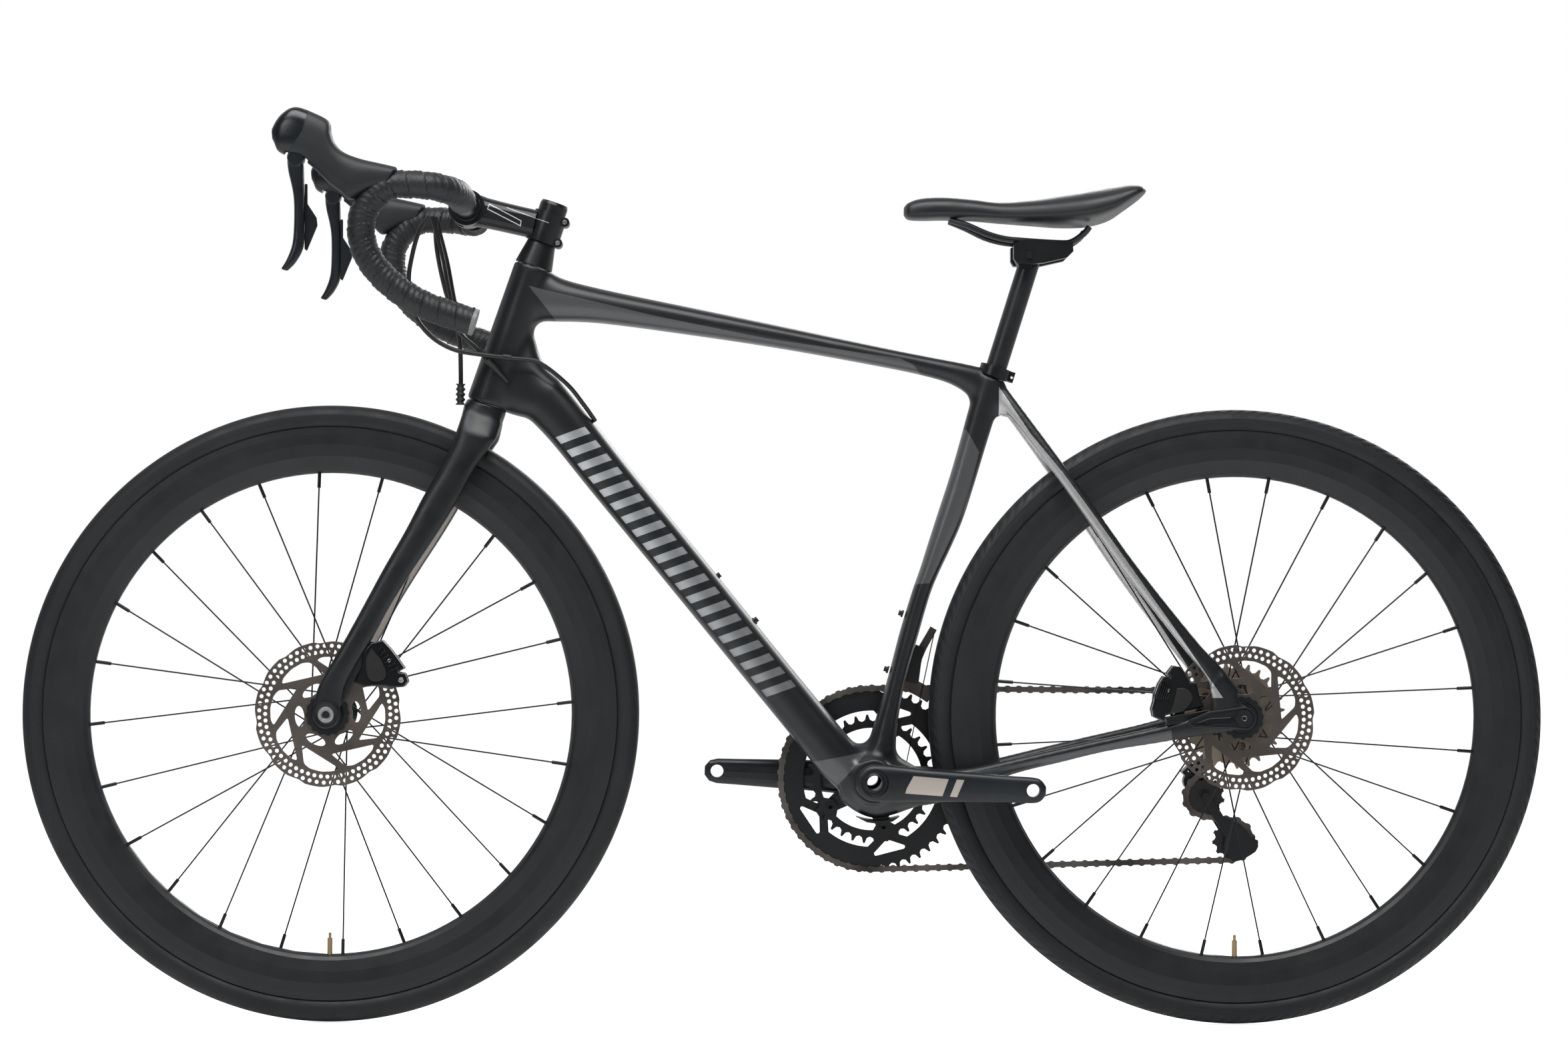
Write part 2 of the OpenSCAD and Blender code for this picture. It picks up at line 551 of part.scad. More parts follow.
function arm_stations(a, y, out) = [for (s = [[-20.5, 6, 6], [-19, 9, 7], [-15, 14, 8], [-8, 18.6, 9], [0, 20.4, 9], [22, 20, 9], [60, 17.5, 8],
    [110, 16, 7.5], [150, 14.6, 7], [172.5, 14, 6.6], [181, 11.6, 6.2], [186.4, 5, 5]])
    [bb_x + s[0] * cos(a), y + out * s[0] / 172.5, bb_z + s[0] * sin(a), a + 90, s[1], s[2]]];

module crank_left() color("#33353a") difference() {
    loft(arm_stations(-2.37, -55, -11), e = 3);
    pin(bb_x, bb_z, -80, -40, 15.02);
    pin(bb_x + crank_len * cos(2.37), bb_z - crank_len * sin(2.37), -90, -40, 7.14);
}

module crank_right() color("#33353a") difference() {
    union() {
        loft(arm_stations(177.63, 58, 11), e = 3);
        pin(bb_x, bb_z, -60, 58, 15);
        pin(bb_x, bb_z, 45.6, 54, 26);
        for (a = bolt_angles) translate([bb_x, 0, bb_z]) side(45.6, 51) rotate(a)
            polygon([[14, -15], [52, -8], [60, -5], [61, 0], [60, 5], [52, 8], [14, 15]]);
    }
    pin(bb_x, bb_z, -54, 50, 11.5);
    pin(bb_x, bb_z, -70, 90, 8);
    pin(bb_x - crank_len * cos(2.37), bb_z + crank_len * sin(2.37), 40, 95, 7.14);
}

module pulley(c, a0, y) color("#232325") difference() {
    union() {
        translate([c[0], 0, c[1]]) side(y - 1.1, y + 1.1) intersection() {
            sprocket_2d(pulley_teeth, a0);
            circle(pitch_r(pulley_teeth) - 0.6);
        }
        pin(c[0], c[1], y - 3.2, y + 3.2, 7.5);
    }
    pin(c[0], c[1], y - 5, y + 5, 2.55);
}

// ---------- rear derailleur ----------

link_len = 46;
link_foot = cage_pivot + [0, 6];
link_top = link_foot + link_len * [cos(45), sin(45)];
outer_y = 90;
inner_y = 78;

// frame with the parallelogram pins along local Z and the links along local X
module rd_frame(at, y) translate([at[0], y, at[1]]) rotate([0, -45, 0]) children();

module rd_link(y) difference() {
    union() {
        for (x = [0, -link_len]) rd_frame(link_top, y) translate([x, 0, -8]) cylinder(h = 16, r = 4);
        rd_frame(link_top, y) translate([-link_len, -1.6, -8]) cube([link_len, 3.2, 16]);
    }
    for (x = [0, -link_len]) rd_frame(link_top, y) translate([x, 0, -20]) cylinder(h = 40, r = 2.05);
}

module rd_pins(at) for (y = [inner_y, outer_y]) rd_frame(at, y) translate([0, 0, -11.5]) cylinder(h = 23, r = 2);

module rd_lugs(at, dx) for (z = [-11.5, 8.2]) rd_frame(at, 0) translate([dx, inner_y - 4.5, z])
    cube([10, outer_y - inner_y + 9, 3.3]);

module rd_body() color("#1d1e20") union() {
    rd_pins(link_top);
    rd_lugs(link_top, -4.5);
    rd_frame(link_top, 0) translate([5.4, inner_y - 4.5, -11.5]) cube([5, outer_y - inner_y + 9, 23]);
    pin(hanger[0], hanger[1], 94.6, 97.5, 8.5);
    pin(hanger[0], hanger[1], 73, 95, 6.3);
    pin(hanger[0], hanger[1], 71, 73.3, 8.5);
    pin(hanger[0], hanger[1], 67.7, 72, 4.8);
}

module rd_link_outer() color("#1d1e20") rd_link(outer_y);

module rd_link_inner() color("#1d1e20") rd_link(inner_y);

module rd_knuckle() color("#1d1e20") difference() {
    union() {
        rd_pins(link_foot);
        rd_lugs(link_foot, -5.5);
        rd_frame(link_foot, 0) translate([-11, inner_y - 4.5, -11.5]) cube([5.6, outer_y - inner_y + 9, 23]);
        pin(cage_pivot[0] - 3, cage_pivot[1] - 3.5, 66.5, 82, 12);
        pin(cage_pivot[0] - 3, cage_pivot[1] - 3.5, 62.6, 70, 5);
    }
    for (y = [inner_y, outer_y]) rd_frame(link_foot, y) translate([0, 0, -8.1]) cylinder(h = 16.2, r = 4.4);
    rd_frame(link_foot, 0) translate([-5.4, inner_y - 8, -8.15]) cube([40, outer_y - inner_y + 16, 16.3]);
}

module rd_cage() color("#222326") difference() {
    union() {
        side(64.1, 66.3) {
            slot2d([cage_pivot[0] - 3, cage_pivot[1] - 3.5], guide, 9);
            slot2d(guide, tension, 6.5);
            translate(tension) circle(9);
        }
        side(51.7, 53.9) {
            slot2d(guide, tension, 5);
            translate(tension) circle(8);
            polygon([guide + [5, -5], guide + [14, -19], tension + [9, 17], tension + [17, 10], tension + [19, 4],
                tension + [29, 0], tension + [29, -7.5], tension + [26, -13], tension + [12, -22],
                tension + [2, -24], tension + [-4, -20], tension + [-10, -8], tension + [-8, 4]]);
        }
        for (c = [guide, tension]) pin(c[0], c[1], 53, 65, 2.5);
    }
    pin(cage_pivot[0] - 3, cage_pivot[1] - 3.5, 55, 70, 5.05);
}

// ---------- front derailleur ----------

module fd_mount() difference() {
    union() {
        side(20.6, 33) polygon([[133, 377], [149, 374], [153, 398], [156, 414], [147, 418], [141, 404]]);
        translate([134, 26.8, fd_pivot_z]) rotate([0, 90, 0]) cylinder(h = 6, r = 5);
    }
    translate([125, 33.5, fd_pivot_z]) rotate([0, 90, 0]) cylinder(h = 40, r = 6.4);
}

module fd_cage() color("#4a4c50") {
    difference() {
        union() {
            translate([136, 33.5, fd_pivot_z]) rotate([0, 90, 0]) cylinder(h = 18, r = 5.8);
            side(35.5, 40.5) polygon([[138, 372], [150, 368], [154, 400], [159, 412], [171, 434], [164, 438],
                [150, 414], [140, 404]]);
        }
        translate([130, 33.5, fd_pivot_z]) rotate([0, 90, 0]) cylinder(h = 30, r = 2.5);
    }
    for (y = [37.6, 51]) translate([bb_x, 0, bb_z]) side(y, y + 1.4) difference() {
        circle(121, $fn = 96);
        circle(105.6, $fn = 96);
        rotate(77) square([300, 300]);
        rotate(77) translate([-300, 0]) square([300, 300]);
        rotate(54) translate([-300, -300]) square([600, 300]);
    }
    side(38, 52) slot2d([bb_x + 119 * cos(66), bb_z + 119 * sin(66)], [bb_x + 119 * cos(72), bb_z + 119 * sin(72)], 1.5);
}

// ---------- seatpost and saddle ----------

module seatpost() color("#1f2022") difference() {
    union() {
        on_post(-110) cylinder(h = 237, r = post_r);
        pin(268, 848, -13, 13, 14);
    }
    on_post(-112) cylinder(h = 100, r = post_r - 2.4);
    pin(268, 862, -30, 30, 7);
    for (y = [-22, 22]) translate([230, y, 856]) rotate([0, 90, 0]) cylinder(h = 90, r = 3.6);
    pin(268, 848, -30, 30, 3.6);
}

module saddle_clamp() color("#17181a") {
    both() difference() {
        side(-29, -15.5) polygon([[251, 845], [254, 840], [268, 838.5], [284, 840], [310, 846], [317, 853],
            [316, 862], [300, 865], [262, 866], [251, 860]]);
        for (x = [240, 300]) translate([x - 6, -22, x < 270 ? 867.2 : 862.6]) rotate([0, 93, 0])
            translate([0, 0, -6]) cylinder(h = 72, r = 5.2);
        pin(268, 848, -40, 40, 3.55);
    }
    pin(268, 848, -32, 32, 3.5);
}

function rail_path(y) = spline([[182, y * 0.5, 888.5], [200, y * 0.8, 882], [222, y, 872], [240, y, 867], [258, y, 865],
    [300, y, 862.5], [315, y * 1.05, 863.5], [328, y * 1.35, 872], [334, y * 1.5, 879.5]], 3);

module saddle_rails() color("#2a2b2d") both() sweep(rail_path(-22), 3.5, n = 10);

// [x, top, bottom, half width] of the saddle, nose to tail
saddle = [[131, 903, 894, 9], [136, 908, 889.5, 17], [150, 912.5, 888.5, 20], [175, 914, 889, 21.5],
    [205, 912, 888.5, 24], [240, 908.5, 886, 30], [275, 911, 884, 41], [305, 915, 882.5, 53], [335, 920, 884, 64],
    [360, 924.5, 891, 70], [378, 927, 903, 71], [389, 926, 911, 66], [394, 921, 915, 55]];

// half ring of a saddle section: crowned top over a flat underside, between two insets
function saddle_ring(s, top, low) = [for (i = [0 : 23]) let (a = 15 * i, c = cos(a), d = sin(a),
    mid = s[2] + 0.35 * (s[1] - s[2]))
    [s[0], (s[3] - top) * sign(c) * pow(abs(c), 0.62), d > 0 ? mid + (s[1] - top - mid) * pow(d, 0.8)
        : mid + (mid - s[2] - low) * d * 0.98]];

module saddle_body(top, low) polyhedron(
    [for (s = saddle) each saddle_ring(s, top, low)],
    concat([[for (i = [0 : 23]) i]], skin(len(saddle), 24, 0, true),
        [[for (i = [23 : -1 : 0]) (len(saddle) - 1) * 24 + i]]));

module saddle_cover() color("#18181a") difference() {
    saddle_body(0, 0);
    translate([120, -100, 870]) rotate([0, -1.5, 0]) cube([222, 200, 21]);
    translate([330, -100, 870]) rotate([0, -24, 0]) cube([120, 200, 21]);
}

module saddle_base() color("#26262a") difference() {
    intersection() {
        saddle_body(1.6, 0);
        union() {
            translate([120, -100, 869.95]) rotate([0, -1.5, 0]) cube([222, 200, 20.9]);
            translate([330, -100, 869.95]) rotate([0, -24, 0]) cube([120, 200, 20.9]);
        }
    }
    both() rod([176, -10, 891], [203, -19, 880], 4.4);
    both() rod([326, -29, 867], [337, -35, 884], 5);
    translate([205, -14, 860]) cube([120, 28, 26]);
}

// ---------- fork and steering ----------

module fork() color("#2b2d30") difference() {
    union() {
        on_steer(385) cylinder(h = 225, r = steer_r);
        on_steer(368) cylinder(h = 9.6, r = 22.8);
        on_steer(376) cylinder(h = 9.6, r = steer_r);
        loft(edged([[-355, 683, -311, 668.5, 0, 23], [-358.5, 667, -315, 655, 0, 26], [-362, 655, -322, 642, 0, 30],
            [-362, 651, -326, 641, 0, 30]]));
        both() loft(edged([[-355, 676, -313, 662, -15, 9], [-361, 655, -317.5, 645, -25, 10],
            [-367, 637, -321.5, 638, -28, 9.5], [-383, 604, -343, 606, -33, 9], [-399, 576, -360, 573, -37, 8.6],
            [-416, 542, -381, 538, -41, 8], [-440, 499, -407, 498, -45, 7.4], [-461, 459, -431, 459, -48.5, 6.8],
            [-477, 429, -448, 427, -51, 6.3], [-493, 400, -467, 396, -53.5, 5.8], [-509, 371, -479, 374, -55, 5.2],
            [-514, 350, -484, 350, -55.4, 4.8]]), n = 16);
        both() pin(front_x, axle_z, -60, -50.2, 15.5);
    }
    pin(front_x, axle_z, -70, 70, 6.05);
    turned(front_x, axle_z, [[290, -18.4], [346.5, -18.4], [346.5, 18.4], [290, 18.4]]);
    on_steer(384) cylinder(h = 240, r = steer_r - 2.3);
}

module front_axle() color("#a9abad") difference() {
    union() {
        pin(front_x, axle_z, -61.5, 59, 6);
        pin(front_x, axle_z, -62.5, -60.1, 9.4);
    }
    pin(front_x, axle_z, -64, -50, 4.2);
}

module steerer_spacers() color("#1c1d1f") {
    on_steer(539.7) difference() {
        cylinder(h = 27.1, r1 = 21.2, r2 = 15.8);
        translate([0, 0, -1]) cylinder(h = 30, r = steer_r + fit);
    }
    on_steer(601.3) difference() {
        cylinder(h = 8.9, r = 15.6);
        translate([0, 0, -1]) cylinder(h = 11, r = steer_r + fit);
    }
    on_steer(610.3) cylinder(h = 3.4, r1 = 15.6, r2 = 14.4);
}

stem_axis = atan2(bar_z - 875, bar_x + 264.5);

module stem() color("#1b1c1e") difference() {
    union() {
        loft([[-342, 0, 896.4, 76, 18, 17.5], [-334, 0, 894.6, 77, 16.8, 17], [-318, 0, 891, 77.7, 16.2, 16.6],
            [-296, 0, 886, 77.7, 16, 16.6], [-278, 0, 882, 77.7, 16, 16.6]], e = 2.6);
        on_steer(567.2) cylinder(h = 34, r = 18.3);
        translate([bar_x, 22, bar_z]) rotate([90, 0, 0]) cylinder(h = 44, r = 20);
        for (p = [[-244.8, 883.5], [-252.5, 860.5]]) pin(p[0], p[1], -11, 11, 5.2);
        for (p = [[-244.8, 883.5], [-252.5, 860.5]]) translate([p[0] - 12, -11, p[1] - 5.2 + 3])
            rotate([0, -18.3, 0]) cube([12, 22, 10.4]);
    }
    on_steer(560) cylinder(h = 60, r = steer_r + fit);
    on_steer(601.2) cylinder(h = 20, r = 17);
    pin(bar_x, bar_z, -40, 40, 16);
    translate([bar_x, 0, bar_z]) rotate([0, 12.3, 0]) translate([-50.4, -40, -40]) cube([50, 80, 80]);
    on_steer(560) translate([10, -0.9, 0]) cube([30, 1.8, 60]);
    for (p = [[-244.8, 883.5], [-252.5, 860.5]]) pin(p[0], p[1], -20, 20, 2.6);
}

module stem_faceplate() color("#1b1c1e") difference() {
    translate([bar_x, 22, bar_z]) rotate([90, 0, 0]) cylinder(h = 44, r = 20);
    pin(bar_x, bar_z, -40, 40, 16);
    translate([bar_x, 0, bar_z]) rotate([0, 12.3, 0]) translate([-0.6, -40, -40]) cube([50, 80, 80]);
    pin(bar_x - 12, bar_z, -12, 12, 30);
}

module stem_bolts() color("#b9b6ae") for (p = [[-244.8, 883.5], [-252.5, 860.5]]) difference() {
    pin(p[0], p[1], -12.6, 10, 2.5);
    pin(p[0], p[1], -13, -10.6, 1.4, $fn = 6);
}

// handlebar centre line from the middle to the left end
bar_top = [[bar_x, 0, bar_z], [bar_x, -60, bar_z], [bar_x, -120, bar_z], [bar_x - 1, -158, bar_z + 0.5],
    [bar_x - 9, -182, bar_z + 2], [bar_x - 26, -194, bar_z + 5]];
bar_drop = [[-400, -bar_half + 2, 905], [-421, -bar_half, 903.5], [-438, -bar_half, 892], [-450, -bar_half, 874],
    [-452, -bar_half, 852], [-446, -bar_half, 831], [-432, -bar_half, 811], [-412, -bar_half, 793],
    [-387, -bar_half, 778], [-360, -bar_half, 768]];
bar_tail = [[-335, -bar_half, 760]];
bar_curve = spline(concat(bar_top, bar_drop, bar_tail), 2);
tape_from = 3;

function part_of(q, a, b) = [for (i = [a : b]) q[i]];

module handlebar() color("#1a1a1c") {
    pin(bar_x, bar_z, -32, 32, 15.95);
    both() sweep(part_of(bar_curve, 1, len(bar_curve) - 1), bar_r, up = [0.35, 0.6, 0.7], n = 14);
}

module bar_tape() color("#1f2022") both()
    sweep(part_of(bar_curve, tape_from, len(bar_curve) - 1), tape_r, bar_r + 0.1, up = [0.35, 0.6, 0.7], n = 14);

module bar_plugs() color("#b8b8b4") let (e = bar_curve[len(bar_curve) - 1],
    t = unit(e - bar_curve[len(bar_curve) - 2])) both() rod(e + 0.1 * t, e + 4.5 * t, 14.4);

hood_edges = [[-414, 922.5, -427, 903, 15], [-436, 927.5, -444, 897, 15.5], [-455, 932, -463, 888, 16.5],
    [-471, 938.5, -474, 896, 16], [-480, 948, -486, 905, 16], [-484, 959, -497, 916, 16], [-486.5, 971, -507, 925, 15.5],
    [-503, 980, -518, 933, 15], [-522, 986, -530, 934, 14], [-536, 979, -541, 940, 11.5], [-547, 962, -546, 951, 6]];

module lever_bodies() color("#1c1d1f") both() difference() {
    loft(edged([for (h = hood_edges) [h[0], h[1], h[2], h[3], -bar_half, h[4]]]), e = 2.6);
    translate([-408, -bar_half, 861]) rotate([90, 0, 0]) rotate_extrude() translate([44.2, 0]) circle(16.4);
    pin(lever_pivot[0], lever_pivot[1], -bar_half - 9.6, -bar_half + 9.6, 13.5);
    pin(lever_pivot[0], lever_pivot[1], -bar_half - 13.1, -bar_half + 13.1, 2.55);
}

module brake_lever() difference() {
    union() {
        loft(edged([[-531.5, 928, -513, 924, -bar_half, 8.8], [-530, 914, -513.8, 910, -bar_half, 8.6],
            [-525.5, 900, -513.6, 897, -bar_half, 8.2], [-523.2, 885, -512.8, 885, -bar_half, 7.8],
            [-524, 860, -512.4, 860, -bar_half - 1, 7.4], [-525.4, 840, -513, 838, -bar_half - 2.5, 7],
            [-530.5, 824, -519.5, 822, -bar_half - 4, 6.4], [-536, 814, -528, 812, -bar_half - 5, 4.4]]), n = 16);
        pin(lever_pivot[0], lever_pivot[1], -bar_half - 9.2, -bar_half + 9.2, 9);
        pin(lever_pivot[0], lever_pivot[1], -bar_half - 13, -bar_half + 13, 2.5);
    }
}

module brake_lever_left() color("#2d2f33") brake_lever();

module brake_lever_right() color("#2d2f33") mirror([0, 1, 0]) brake_lever();

module shift_paddle() union() {
    side(-bar_half + 2, -bar_half + 5.5) polygon([[-511.6, 905], [-506, 905], [-505, 884], [-498.5, 868], [-499, 857],
        [-510, 831], [-511.6, 838]]);
    translate([-509.5, -bar_half + 3.7, 903]) cylinder(h = 9, r = 2);
}

module shift_left() color("#232427") shift_paddle();

module shift_right() color("#232427") mirror([0, 1, 0]) shift_paddle();

// ---------- hoses and housings ----------

module control_cables() color("#3a3836") {
    // front brake hose to the top of the left fork blade
    sweep(spline([[-386, -36, 886], [-384, -32, 850], [-375, -24, 806], [-364, -18, 775], [-359.5, -15, 748],
        [-358.5, -12, 716], [-358.5, -12, 693]], 4), 2.5, n = 8);
    // rear brake hose past the left of the head tube to the down tube
    sweep(spline([[-392, -46, 886], [-403, -46, 869], [-411, -44, 840], [-414, -42, 815], [-409, -40, 782],
        [-392, -38, 757], [-366, -36, 741], [-333, -34, 735], [-300, -33, 731.5], [-272, -33, 727],
        [-240, -31, 703], [-222, -29, 680]], 3), 2.5, n = 8);
    // shift housings, one on each side of the head tube
    for (s = [-1, 1]) sweep(spline([for (q = [[-389, 42, 886], [-378, 41, 845], [-370, 39, 804], [-361, 35, 764],
        [-342, 30, 744], [-328, 28, 732]]) [q[0], s * q[1], q[2]]], 4), 2.2, n = 8);
}

module rear_cables() color("#3a3836") {
    // shift housing loop behind the right dropout
    sweep(spline([[452, 81, 322], [484, 88, 328], [514, 95, 327], [533, 98, 311], [530, 98, 292], [513, 96, 281]], 3),
        2.2, up = [0, 1, 0.2]);
    // bare wire to the front derailleur
    rod([137, 34, 284], [168, 34.7, 431], 0.6);
}

// ---------- nodes ----------

frame_shell();
frame_bearings();
seat_collar();
rear_axle();
hanger_plate();
rear_caliper();
rear_pads();
frame_fittings();
chain();
rear_cables();
seatpost();
saddle_clamp();
saddle_rails();
saddle_base();
saddle_cover();
fork();
front_axle();
steerer_spacers();
stem();
stem_faceplate();
stem_bolts();
handlebar();
bar_tape();
bar_plugs();
lever_bodies();
front_caliper();
front_pads();
control_cables();
tyre(front_x);  // front_tyre
rim(front_x, 93, [-24, 35]);  // front_rim
wheel_spokes(front_x, 93, [-24, 35]);  // front_spokes
front_hub();
front_bearings();
rotor(front_x, front_rotor_y, 0);  // front_rotor
valve(front_x);  // front_valve
tyre(rear_x);  // rear_tyre
rim(rear_x, 81.9, [-32, 19]);  // rear_rim
wheel_spokes(rear_x, 81.9, [-32, 19]);  // rear_spokes
rear_hub();
rear_bearings();
rotor(rear_x, rear_rotor_y, 49);  // rear_rotor
valve(rear_x);  // rear_valve
crank_right();
crank_left();
chainrings();
ring_bolts();
cassette();
freehub();
pulley(guide, gap_angle(2), cog_y);  // guide_pulley
pulley(tension, gap_angle(1), cog_y);  // tension_pulley
brake_lever_left();
brake_lever_right();
shift_left();
shift_right();
rd_body();
rd_link_outer();
rd_link_inner();
rd_knuckle();
rd_cage();
fd_cage();
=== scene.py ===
"""Road bicycle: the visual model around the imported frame."""
import json
import math

import bmesh
import bpy
from mathutils import Matrix, Vector


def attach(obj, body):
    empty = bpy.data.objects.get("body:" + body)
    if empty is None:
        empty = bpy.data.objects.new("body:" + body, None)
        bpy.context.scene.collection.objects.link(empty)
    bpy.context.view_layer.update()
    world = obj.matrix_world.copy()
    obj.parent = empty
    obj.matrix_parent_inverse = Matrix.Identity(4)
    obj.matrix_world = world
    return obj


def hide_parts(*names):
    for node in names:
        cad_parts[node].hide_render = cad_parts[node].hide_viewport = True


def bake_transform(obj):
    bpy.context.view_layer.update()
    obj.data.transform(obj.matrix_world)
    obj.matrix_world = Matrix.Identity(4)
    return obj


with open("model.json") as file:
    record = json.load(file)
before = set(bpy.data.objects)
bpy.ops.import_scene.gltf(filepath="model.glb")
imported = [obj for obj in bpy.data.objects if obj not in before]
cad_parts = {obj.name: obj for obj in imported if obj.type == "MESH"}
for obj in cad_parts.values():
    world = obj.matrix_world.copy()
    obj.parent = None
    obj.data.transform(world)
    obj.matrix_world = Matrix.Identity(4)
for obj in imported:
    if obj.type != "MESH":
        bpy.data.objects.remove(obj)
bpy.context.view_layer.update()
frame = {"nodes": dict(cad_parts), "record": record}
MM = 0.001

# driving dimensions in millimetres
FRONT_X, REAR_X, AXLE_Z = -500.0, 500.0, 340.0
BB_X, BB_Z = 98.5, 267.5
CRANK = 172.5
CRANK_TILT = math.radians(2.37)
HEAD_ANGLE = math.radians(71.7)
POST_ANGLE = math.radians(72.7)
BAR_X, BAR_Z, BAR_HALF = -352.6, 898.6, 199.0
TAPE_R = 15.0
ROTOR_R, ROTOR_FRONT_Y, ROTOR_REAR_Y = 80.0, -39.5, -55.5
POST_R = 11.6
TYRE_R, TYRE_HALF = 340.0, 14.5
HEAD_FOOT, HEAD_TOP = 378.0, 539.5
HEADSET_R, STEERER_R = 20.5, 14.3
SHELL_HALF, SHELL_R, SHELL_BORE = 36.5, 25.0, 21.0
AXLE_BORE = 6.1
PEDAL_HOLE = 7.14


# ---------- materials ----------

class Nodes:
    """Short calls for building a node tree."""

    def __init__(self, name):
        self.mat = bpy.data.materials.new(name)
        self.mat.use_nodes = True
        self.tree = self.mat.node_tree
        self.bsdf = self.tree.nodes["Principled BSDF"]
        self.place = self.add("ShaderNodeTexCoord").outputs["Object"]

    def add(self, kind, **props):
        node = self.tree.nodes.new(kind)
        for key, value in props.items():
            setattr(node, key, value)
        return node

    def link(self, value, socket):
        if isinstance(value, bpy.types.NodeSocket):
            self.tree.links.new(value, socket)
        else:
            socket.default_value = value

    def math(self, op, a, b=0.0, c=0.0):
        node = self.add("ShaderNodeMath", operation=op)
        for value, socket in zip((a, b, c), node.inputs):
            self.link(value, socket)
        return node.outputs[0]

    def dot(self, v, axis):
        node = self.add("ShaderNodeVectorMath", operation="DOT_PRODUCT")
        self.link(v, node.inputs[0])
        node.inputs[1].default_value = axis
        return node.outputs["Value"]

    def noise(self, scale, detail=4.0):
        node = self.add("ShaderNodeTexNoise")
        self.link(self.place, node.inputs["Vector"])
        node.inputs["Scale"].default_value = scale
        node.inputs["Detail"].default_value = detail
        node.inputs["Roughness"].default_value = 0.55
        return node.outputs["Fac"]

    def ramp(self, value, low, high, out_low=0.0, out_high=1.0):
        node = self.add("ShaderNodeMapRange")
        for v, socket in zip((value, low, high, out_low, out_high), node.inputs):
            self.link(v, socket)
        return node.outputs["Result"]

    def mix(self, fac, a, b):
        node = self.add("ShaderNodeMix", data_type="RGBA")
        self.link(fac, node.inputs["Factor"])
        self.link(a, node.inputs["A"])
        self.link(b, node.inputs["B"])
        return node.outputs["Result"]

    def soften(self, radius):
        """Rounded corners on a piece whose mesh has none."""
        node = self.add("ShaderNodeBevel", samples=4)
        node.inputs["Radius"].default_value = radius
        return node.outputs["Normal"]

    def axes(self):
        node = self.add("ShaderNodeSeparateXYZ")
        self.link(self.place, node.inputs[0])
        return node.outputs

    def line(self, points):
        """Height of a line through points (x, z), in millimetres, at the shaded place."""
        x0, x1 = points[0][0], points[-1][0]
        z0, z1 = min(z for x, z in points), max(z for x, z in points)
        ramp = self.add("ShaderNodeValToRGB")
        while len(ramp.color_ramp.elements) < len(points):
            ramp.color_ramp.elements.new(1.0)
        for element, (x, z) in zip(ramp.color_ramp.elements, points):
            element.position = (x - x0) / (x1 - x0)
            element.color = grey((z - z0) / (z1 - z0))
        self.link(self.ramp(self.axes()["X"], x0 * MM, x1 * MM), ramp.inputs[0])
        return self.ramp(ramp.outputs["Color"], 0.0, 1.0, z0 * MM, z1 * MM)

    def below(self, points, soft=0.0003):
        return self.ramp(self.math("SUBTRACT", self.line(points), self.axes()["Z"]), 0.0, soft)

    def both(self, *masks):
        out = masks[0]
        for mask in masks[1:]:
            out = self.math("MINIMUM", out, mask)
        return out

    def either(self, *masks):
        out = masks[0]
        for mask in masks[1:]:
            out = self.math("MAXIMUM", out, mask)
        return out

    def inside(self, corners, soft=0.0003):
        """1 inside a convex outline in the side plane, corners in millimetres and counter-clockwise."""
        level = None
        for (x0, z0), (x1, z1) in zip(corners, corners[1:] + corners[:1]):
            n = Vector((z0 - z1, 0.0, x1 - x0)).normalized()
            gap = self.math("SUBTRACT", self.dot(self.place, n), (n.x * x0 + n.z * z0) * MM)
            level = gap if level is None else self.math("MINIMUM", level, gap)
        return self.ramp(level, 0.0, soft)


def grey(v, tint=(1.0, 1.0, 1.0)):
    return (v * tint[0], v * tint[1], v * tint[2], 1.0)


COOL = (0.82, 0.98, 1.16)
WARM = (1.08, 0.98, 0.88)
PALE = (0.95, 0.99, 1.03)
BRONZE = (0.36, 0.30, 0.235, 1.0)
DARK_STEEL = (0.115, 0.1, 0.088, 1.0)
BRASS = (0.42, 0.31, 0.17, 1.0)


def finish(name, colour, rough, metal=0.0, grain=900.0, depth=0.08, spread=0.25, corner=0.0, size=0.0002):
    """Painted, moulded or machined surface: uneven colour and gloss, fine grain, corners rounded a little."""
    n = Nodes(name)
    dark = tuple(c * (1.0 - spread) for c in colour[:3]) + (1.0,)
    light = tuple(min(1.0, c * (1.0 + spread)) for c in colour[:3]) + (1.0,)
    n.link(n.mix(n.ramp(n.noise(14.0, 5.0), 0.35, 0.65), dark, light), n.bsdf.inputs["Base Color"])
    n.link(metal, n.bsdf.inputs["Metallic"])
    gloss = n.ramp(n.noise(45.0, 6.0), 0.3, 0.7, rough * 0.85, min(1.0, rough * 1.15))
    n.link(gloss, n.bsdf.inputs["Roughness"])
    bump = n.add("ShaderNodeBump")
    bump.inputs["Strength"].default_value = depth
    bump.inputs["Distance"].default_value = size
    n.link(n.noise(grain, 3.0), bump.inputs["Height"])
    if corner:
        n.link(n.soften(corner * MM), bump.inputs["Normal"])
    n.link(bump.outputs["Normal"], n.bsdf.inputs["Normal"])
    return n


def colour_of(n):
    return n.bsdf.inputs["Base Color"].links[0].from_socket


STAY_EDGE = [(234, 706), (239, 700), (270, 652), (304, 610), (332, 571), (430, 431), (453, 397), (478, 361)]
PANEL_TOP = [(-284, 812.5), (-144, 780), (-21, 756), (84, 740.6), (126, 735), (141, 728), (152, 715)]
CHAINSTAY_TOP = [(150, 272), (200, 277), (250, 287.5), (300, 299), (350, 310.5), (400, 322), (424, 327)]


